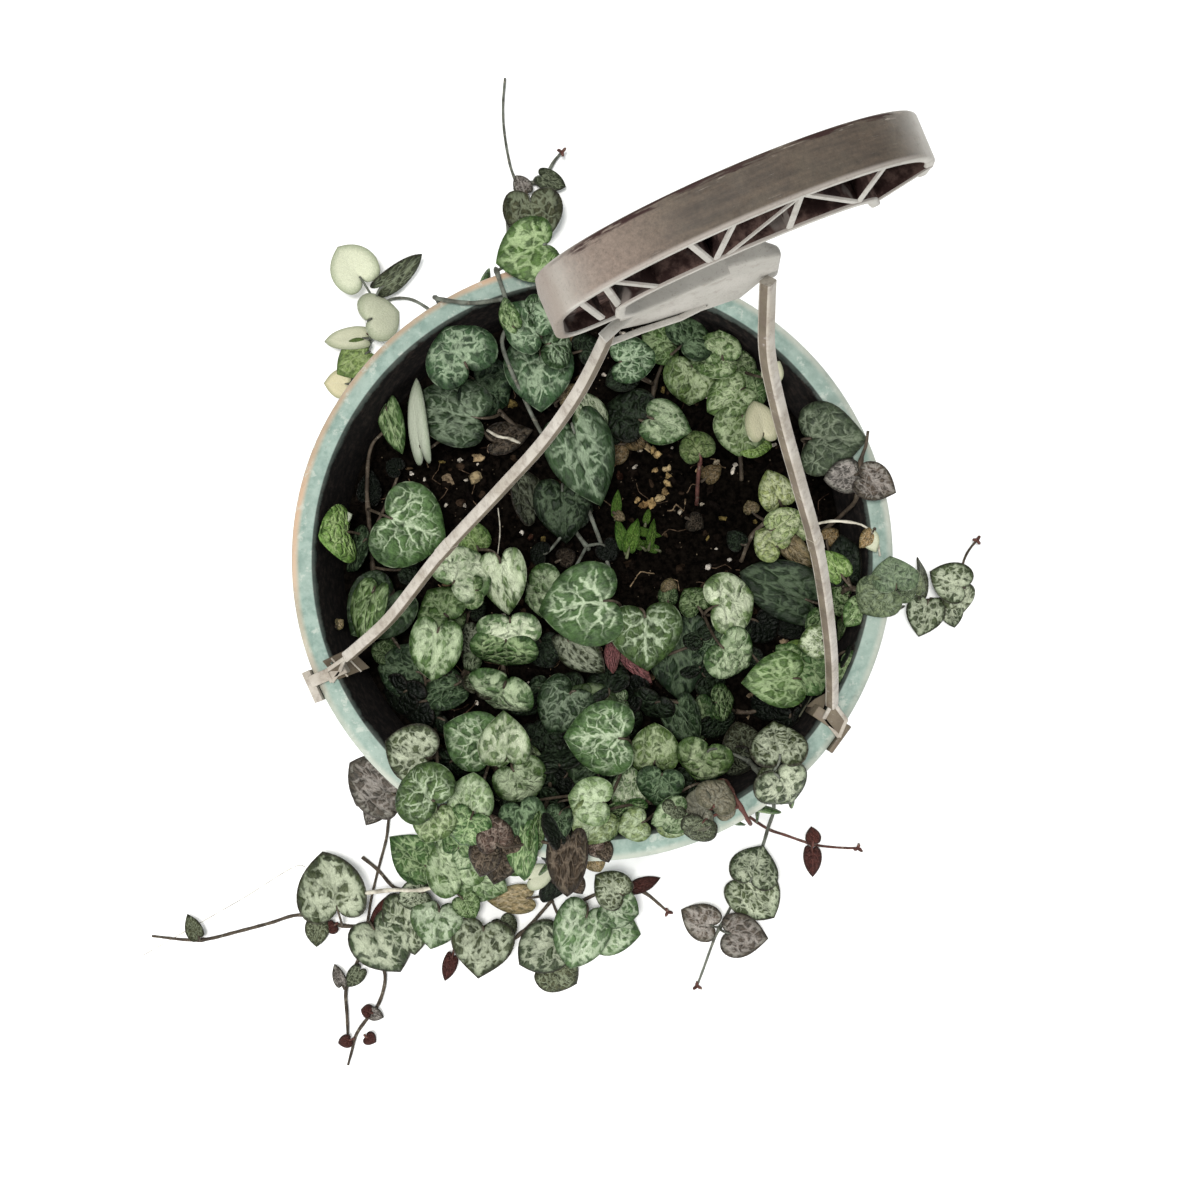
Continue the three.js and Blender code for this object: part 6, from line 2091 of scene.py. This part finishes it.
def hanger_material(name, clean, shaded, grime_share):
    """An arm's or a wing's plastic, smeared, specked and scratched."""
    g = Graph(name)
    place = g.place()
    broad = g.spots(place, 0.10, 3.0, 0.35, 0.65)
    colour = g.mix(broad, shaded, clean)
    smears = g.spots(place, 0.38, 6.0, 0.44, 0.66, 0.7)
    colour = g.paint(colour, SMEAR, smears, grime_share)
    specks = g.spots(place, 2.2, 4.0, 0.56, 0.68, 0.7)
    colour = g.paint(colour, SPECK, specks, 0.45 * grime_share + 0.1)
    scratches = g.spots(place, 0.7, 5.0, 0.58, 0.72, 0.7)
    colour = g.paint(colour, SCRATCH, scratches, 0.35)
    rough = g.scaled(g.noise(place, 0.6, 4.0), 0.35, 0.36)
    g.bump(g.noise(place, 1.5, 5.0, 0.7), 0.12, 0.7)
    return g.finish(colour, rough, 0.22)


def hook_material():
    """The hook's plastic: pale, but dusty brown on its top, with worn edges."""
    g = Graph("hook_plastic")
    place = g.place()
    z = g.split(place)[2]
    normal_z = g.split(g.add("ShaderNodeNewGeometry").outputs["Normal"])[2]
    away = g.vector("SUBTRACT", place, tuple(HOOK_PLACE))
    along = g.vector("DOT_PRODUCT", away, tuple(ACROSS))
    out = g.vector("DOT_PRODUCT", away, tuple(FRONT))
    lengthwise = g.join(g.times(along, 0.10), out, g.times(z, 0.15))
    broad = g.spots(place, 0.10, 3.0, 0.35, 0.65)
    colour = g.mix(broad, *HOOK_PLASTIC)
    smears = g.spots(place, 0.38, 6.0, 0.50, 0.70, 0.7)
    colour = g.paint(colour, HOOK_SMEAR, smears, 0.35)
    # The top: grey-brown dust in lengthwise streaks, pinker and cleaner towards the left end
    top = g.times(g.step(0.35, 0.85, normal_z), g.step(HUB_TOP + 8, HUB_TOP + 18, z))
    streaks = g.spots(lengthwise, 0.9, 5.0, 0.30, 0.70, 0.65)
    dusty = g.mix(streaks, *DUST)
    patches = g.spots(place, 0.16, 4.0, 0.40, 0.70, 0.6)
    dusty = g.paint(dusty, DUST_PATCH, patches, 0.45)
    cleaner = g.step(1.0, -14.0, along)
    dusty = g.paint(dusty, PINK_DUST, cleaner, 0.75)
    grain = g.scaled(g.noise(place, 1.4, 5.0, 0.8), 2.4, -0.3)
    dusty = g.mottled(dusty, 0.7, grain)
    colour = g.paint(colour, dusty, top, 0.92)
    scuffs = g.times(g.spots(lengthwise, 2.4, 5.0, 0.64, 0.72, 0.7), top)
    colour = g.paint(colour, SCUFF, scuffs, 0.40)
    edge = g.times(top, g.step(2.9, 3.5, out))
    colour = g.paint(colour, WORN_EDGE, edge, 0.8)
    # Its back edge is flaking: dark maroon patches with pale scrapes between them
    flakes = g.noise(lengthwise, 1.3, 4.0, 0.65)
    back = g.times(top, g.step(-1.7, -2.7, g.scaled(streaks, 1.2, out)))
    colour = g.paint(colour, FLAKE, back, g.step(0.56, 0.46, flakes))
    colour = g.paint(colour, SCRAPE, back, g.step(0.60, 0.66, flakes))
    left_end = g.step(-19.0, -21.5, along)
    colour = g.paint(colour, LEFT_END, left_end, 0.85)
    specks = g.spots(place, 2.2, 4.0, 0.56, 0.68, 0.7)
    colour = g.paint(colour, HOOK_SPECK, specks, 0.25)
    rough = g.scaled(g.noise(place, 0.6, 4.0), 0.35, 0.36)
    g.bump(g.noise(place, 1.5, 5.0, 0.7), 0.14, 0.7)
    return g.finish(colour, rough, 0.10)


def hollow_dirt_and_shade_material():
    """The dark dirt and painted shade in the hook's hollows."""
    g = Graph("hook_hollow")
    place = g.place()
    patches = g.spots(place, 0.30, 4.0, 0.42, 0.66, 0.65)
    colour = g.mix(patches, *HOLLOW_DIRT_AND_SHADE)
    pale = g.spots(place, 0.16, 2.0, 0.60, 0.68)
    colour = g.paint(colour, PALE_DIRT, pale, 0.6)
    g.bump(g.noise(place, 1.5, 5.0, 0.7), 0.15, 0.7)
    return g.finish(colour, 0.8, 0.08)


# Small things among the leaves
def make_scraps(leaf_materials, ball):
    """Small leaves, end buds, the dried flower on its thread and the dry filament."""
    rng = random.Random("scraps")
    build = Build()
    for x1, y1, x2, y2, width, z, look in BUDS:
        leaf = Leaf(seen(x1, y1, z), seen(x2, y2, z), width, rng.uniform(*BUD_ROLL), look, rng)
        leaf.clear_ground()
        leaf.make(build, heart_outline(rng))
        foot = leaf.point(-BUD_BEHIND, 0)
        foot.z = max(foot.z - BUD_DROP, BUD_LOWEST if z > SOIL_TOP else FLOOR_LIFT)
        tint = STEM_TINTS[BUD_STALKS.get(look, "brown")]
        make_stalk(build, leaf, foot, (*tint, 1.0))
    tint = (*STEM_TINTS["red"], 1.0)
    for x, y, z in TIP_BUDS:
        centre = seen(x, y, z)
        for k in range(TIP_BUD_SCALES):
            turn = Quaternion(UP, TIP_BUD_TURN * k + x) @ Quaternion((0, 1, 0), TIP_BUD_TILT)
            place = centre + turn @ Vector((TIP_BUD_SPREAD, 0, 0))
            place.z = max(place.z, TIP_BUD_LOWEST)
            add_lump(build, ball, place, TIP_BUD_SIZE, turn.to_matrix(), STEM, stem_tint=tint)
    for tint, radius, places in THREADS:
        path = spaced([seen(*place) for place in places], FINE_STEP)
        radii = [radius * rng.uniform(*THREAD_UNEVEN) for _ in path]
        tube(build, path, radii, STALK_SIDES, STEM, stem_tint=(*THREAD_TINTS[tint], 1.0))
    build.object("buds_and_threads", leaf_materials)


# Studio
def make_floor(material):
    build = Build()
    corners = [(-1, -1), (1, -1), (1, 1), (-1, 1)]
    build.face(tuple(build.point((x * FLOOR_HALF, y * FLOOR_HALF, -FLOOR_GAP)) for x, y in corners))
    mesh = bpy.data.meshes.new("floor")
    mesh.from_pydata(build.points, [], build.faces)
    mesh.materials.append(material)
    floor = bpy.data.objects.new("floor", mesh)
    bpy.context.scene.collection.objects.link(floor)


def floor_material():
    g = Graph("floor_card")
    shade = g.noise(g.place(), 0.02, 3.0)
    colour = g.mix(shade, *FLOOR_CARD)
    return g.finish(colour, 0.9, 0.1, 1.0)


def add_light(name, place, target, size, watts, colour):
    lamp = bpy.data.lights.new(name, "AREA")
    lamp.shape = "DISK"
    lamp.size = size
    lamp.energy = watts
    lamp.color = colour
    obj = bpy.data.objects.new(name, lamp)
    obj.location = place
    obj.rotation_euler = (Vector(target) - Vector(place)).to_track_quat("-Z", "Y").to_euler()
    bpy.context.scene.collection.objects.link(obj)


def make_studio():
    """Plain soft light: a wide lamp above, a weaker one low at the front, and a pale world."""
    scene = bpy.context.scene
    world = bpy.data.worlds.new("studio")
    world.use_nodes = True
    background = world.node_tree.nodes["Background"]
    background.inputs["Color"].default_value = WORLD_COLOUR
    background.inputs["Strength"].default_value = WORLD_STRENGTH
    scene.world = world
    for lamp in LAMPS:
        add_light(*lamp)
    scene.view_settings.view_transform = "Standard"


def make_camera():
    """The photograph's camera, straight above the plant."""
    data = bpy.data.cameras.new("photo_camera")
    data.sensor_width = SENSOR_MM
    data.lens = SENSOR_MM * PHOTO_FOCAL / PHOTO_SIDE
    data.clip_start = 0.01
    data.clip_end = 50
    camera = bpy.data.objects.new("photo_camera", data)
    camera.location = EYE * MM
    bpy.context.scene.collection.objects.link(camera)
    bpy.context.scene.camera = camera


make_camera()
make_studio()
make_floor(floor_material())
leaf_materials = [leaf_top_material(), leaf_under_material(), stem_material()]
for vine_name, vine in VINES.items():
    make_vine(vine_name, vine, leaf_materials)
ball = ball_directions()
make_pot(pot_material())
make_soil(soil_material(), ball)
arm_plastic = hanger_material("arm_plastic", *ARM_PLASTIC)
wing_plastic = hanger_material("wing_plastic", *WING_PLASTIC)
make_hub(hook_material(), hollow_dirt_and_shade_material())
for side in ARM_PATHS:
    make_arm(side, arm_plastic, wing_plastic)
make_scraps(leaf_materials, ball)
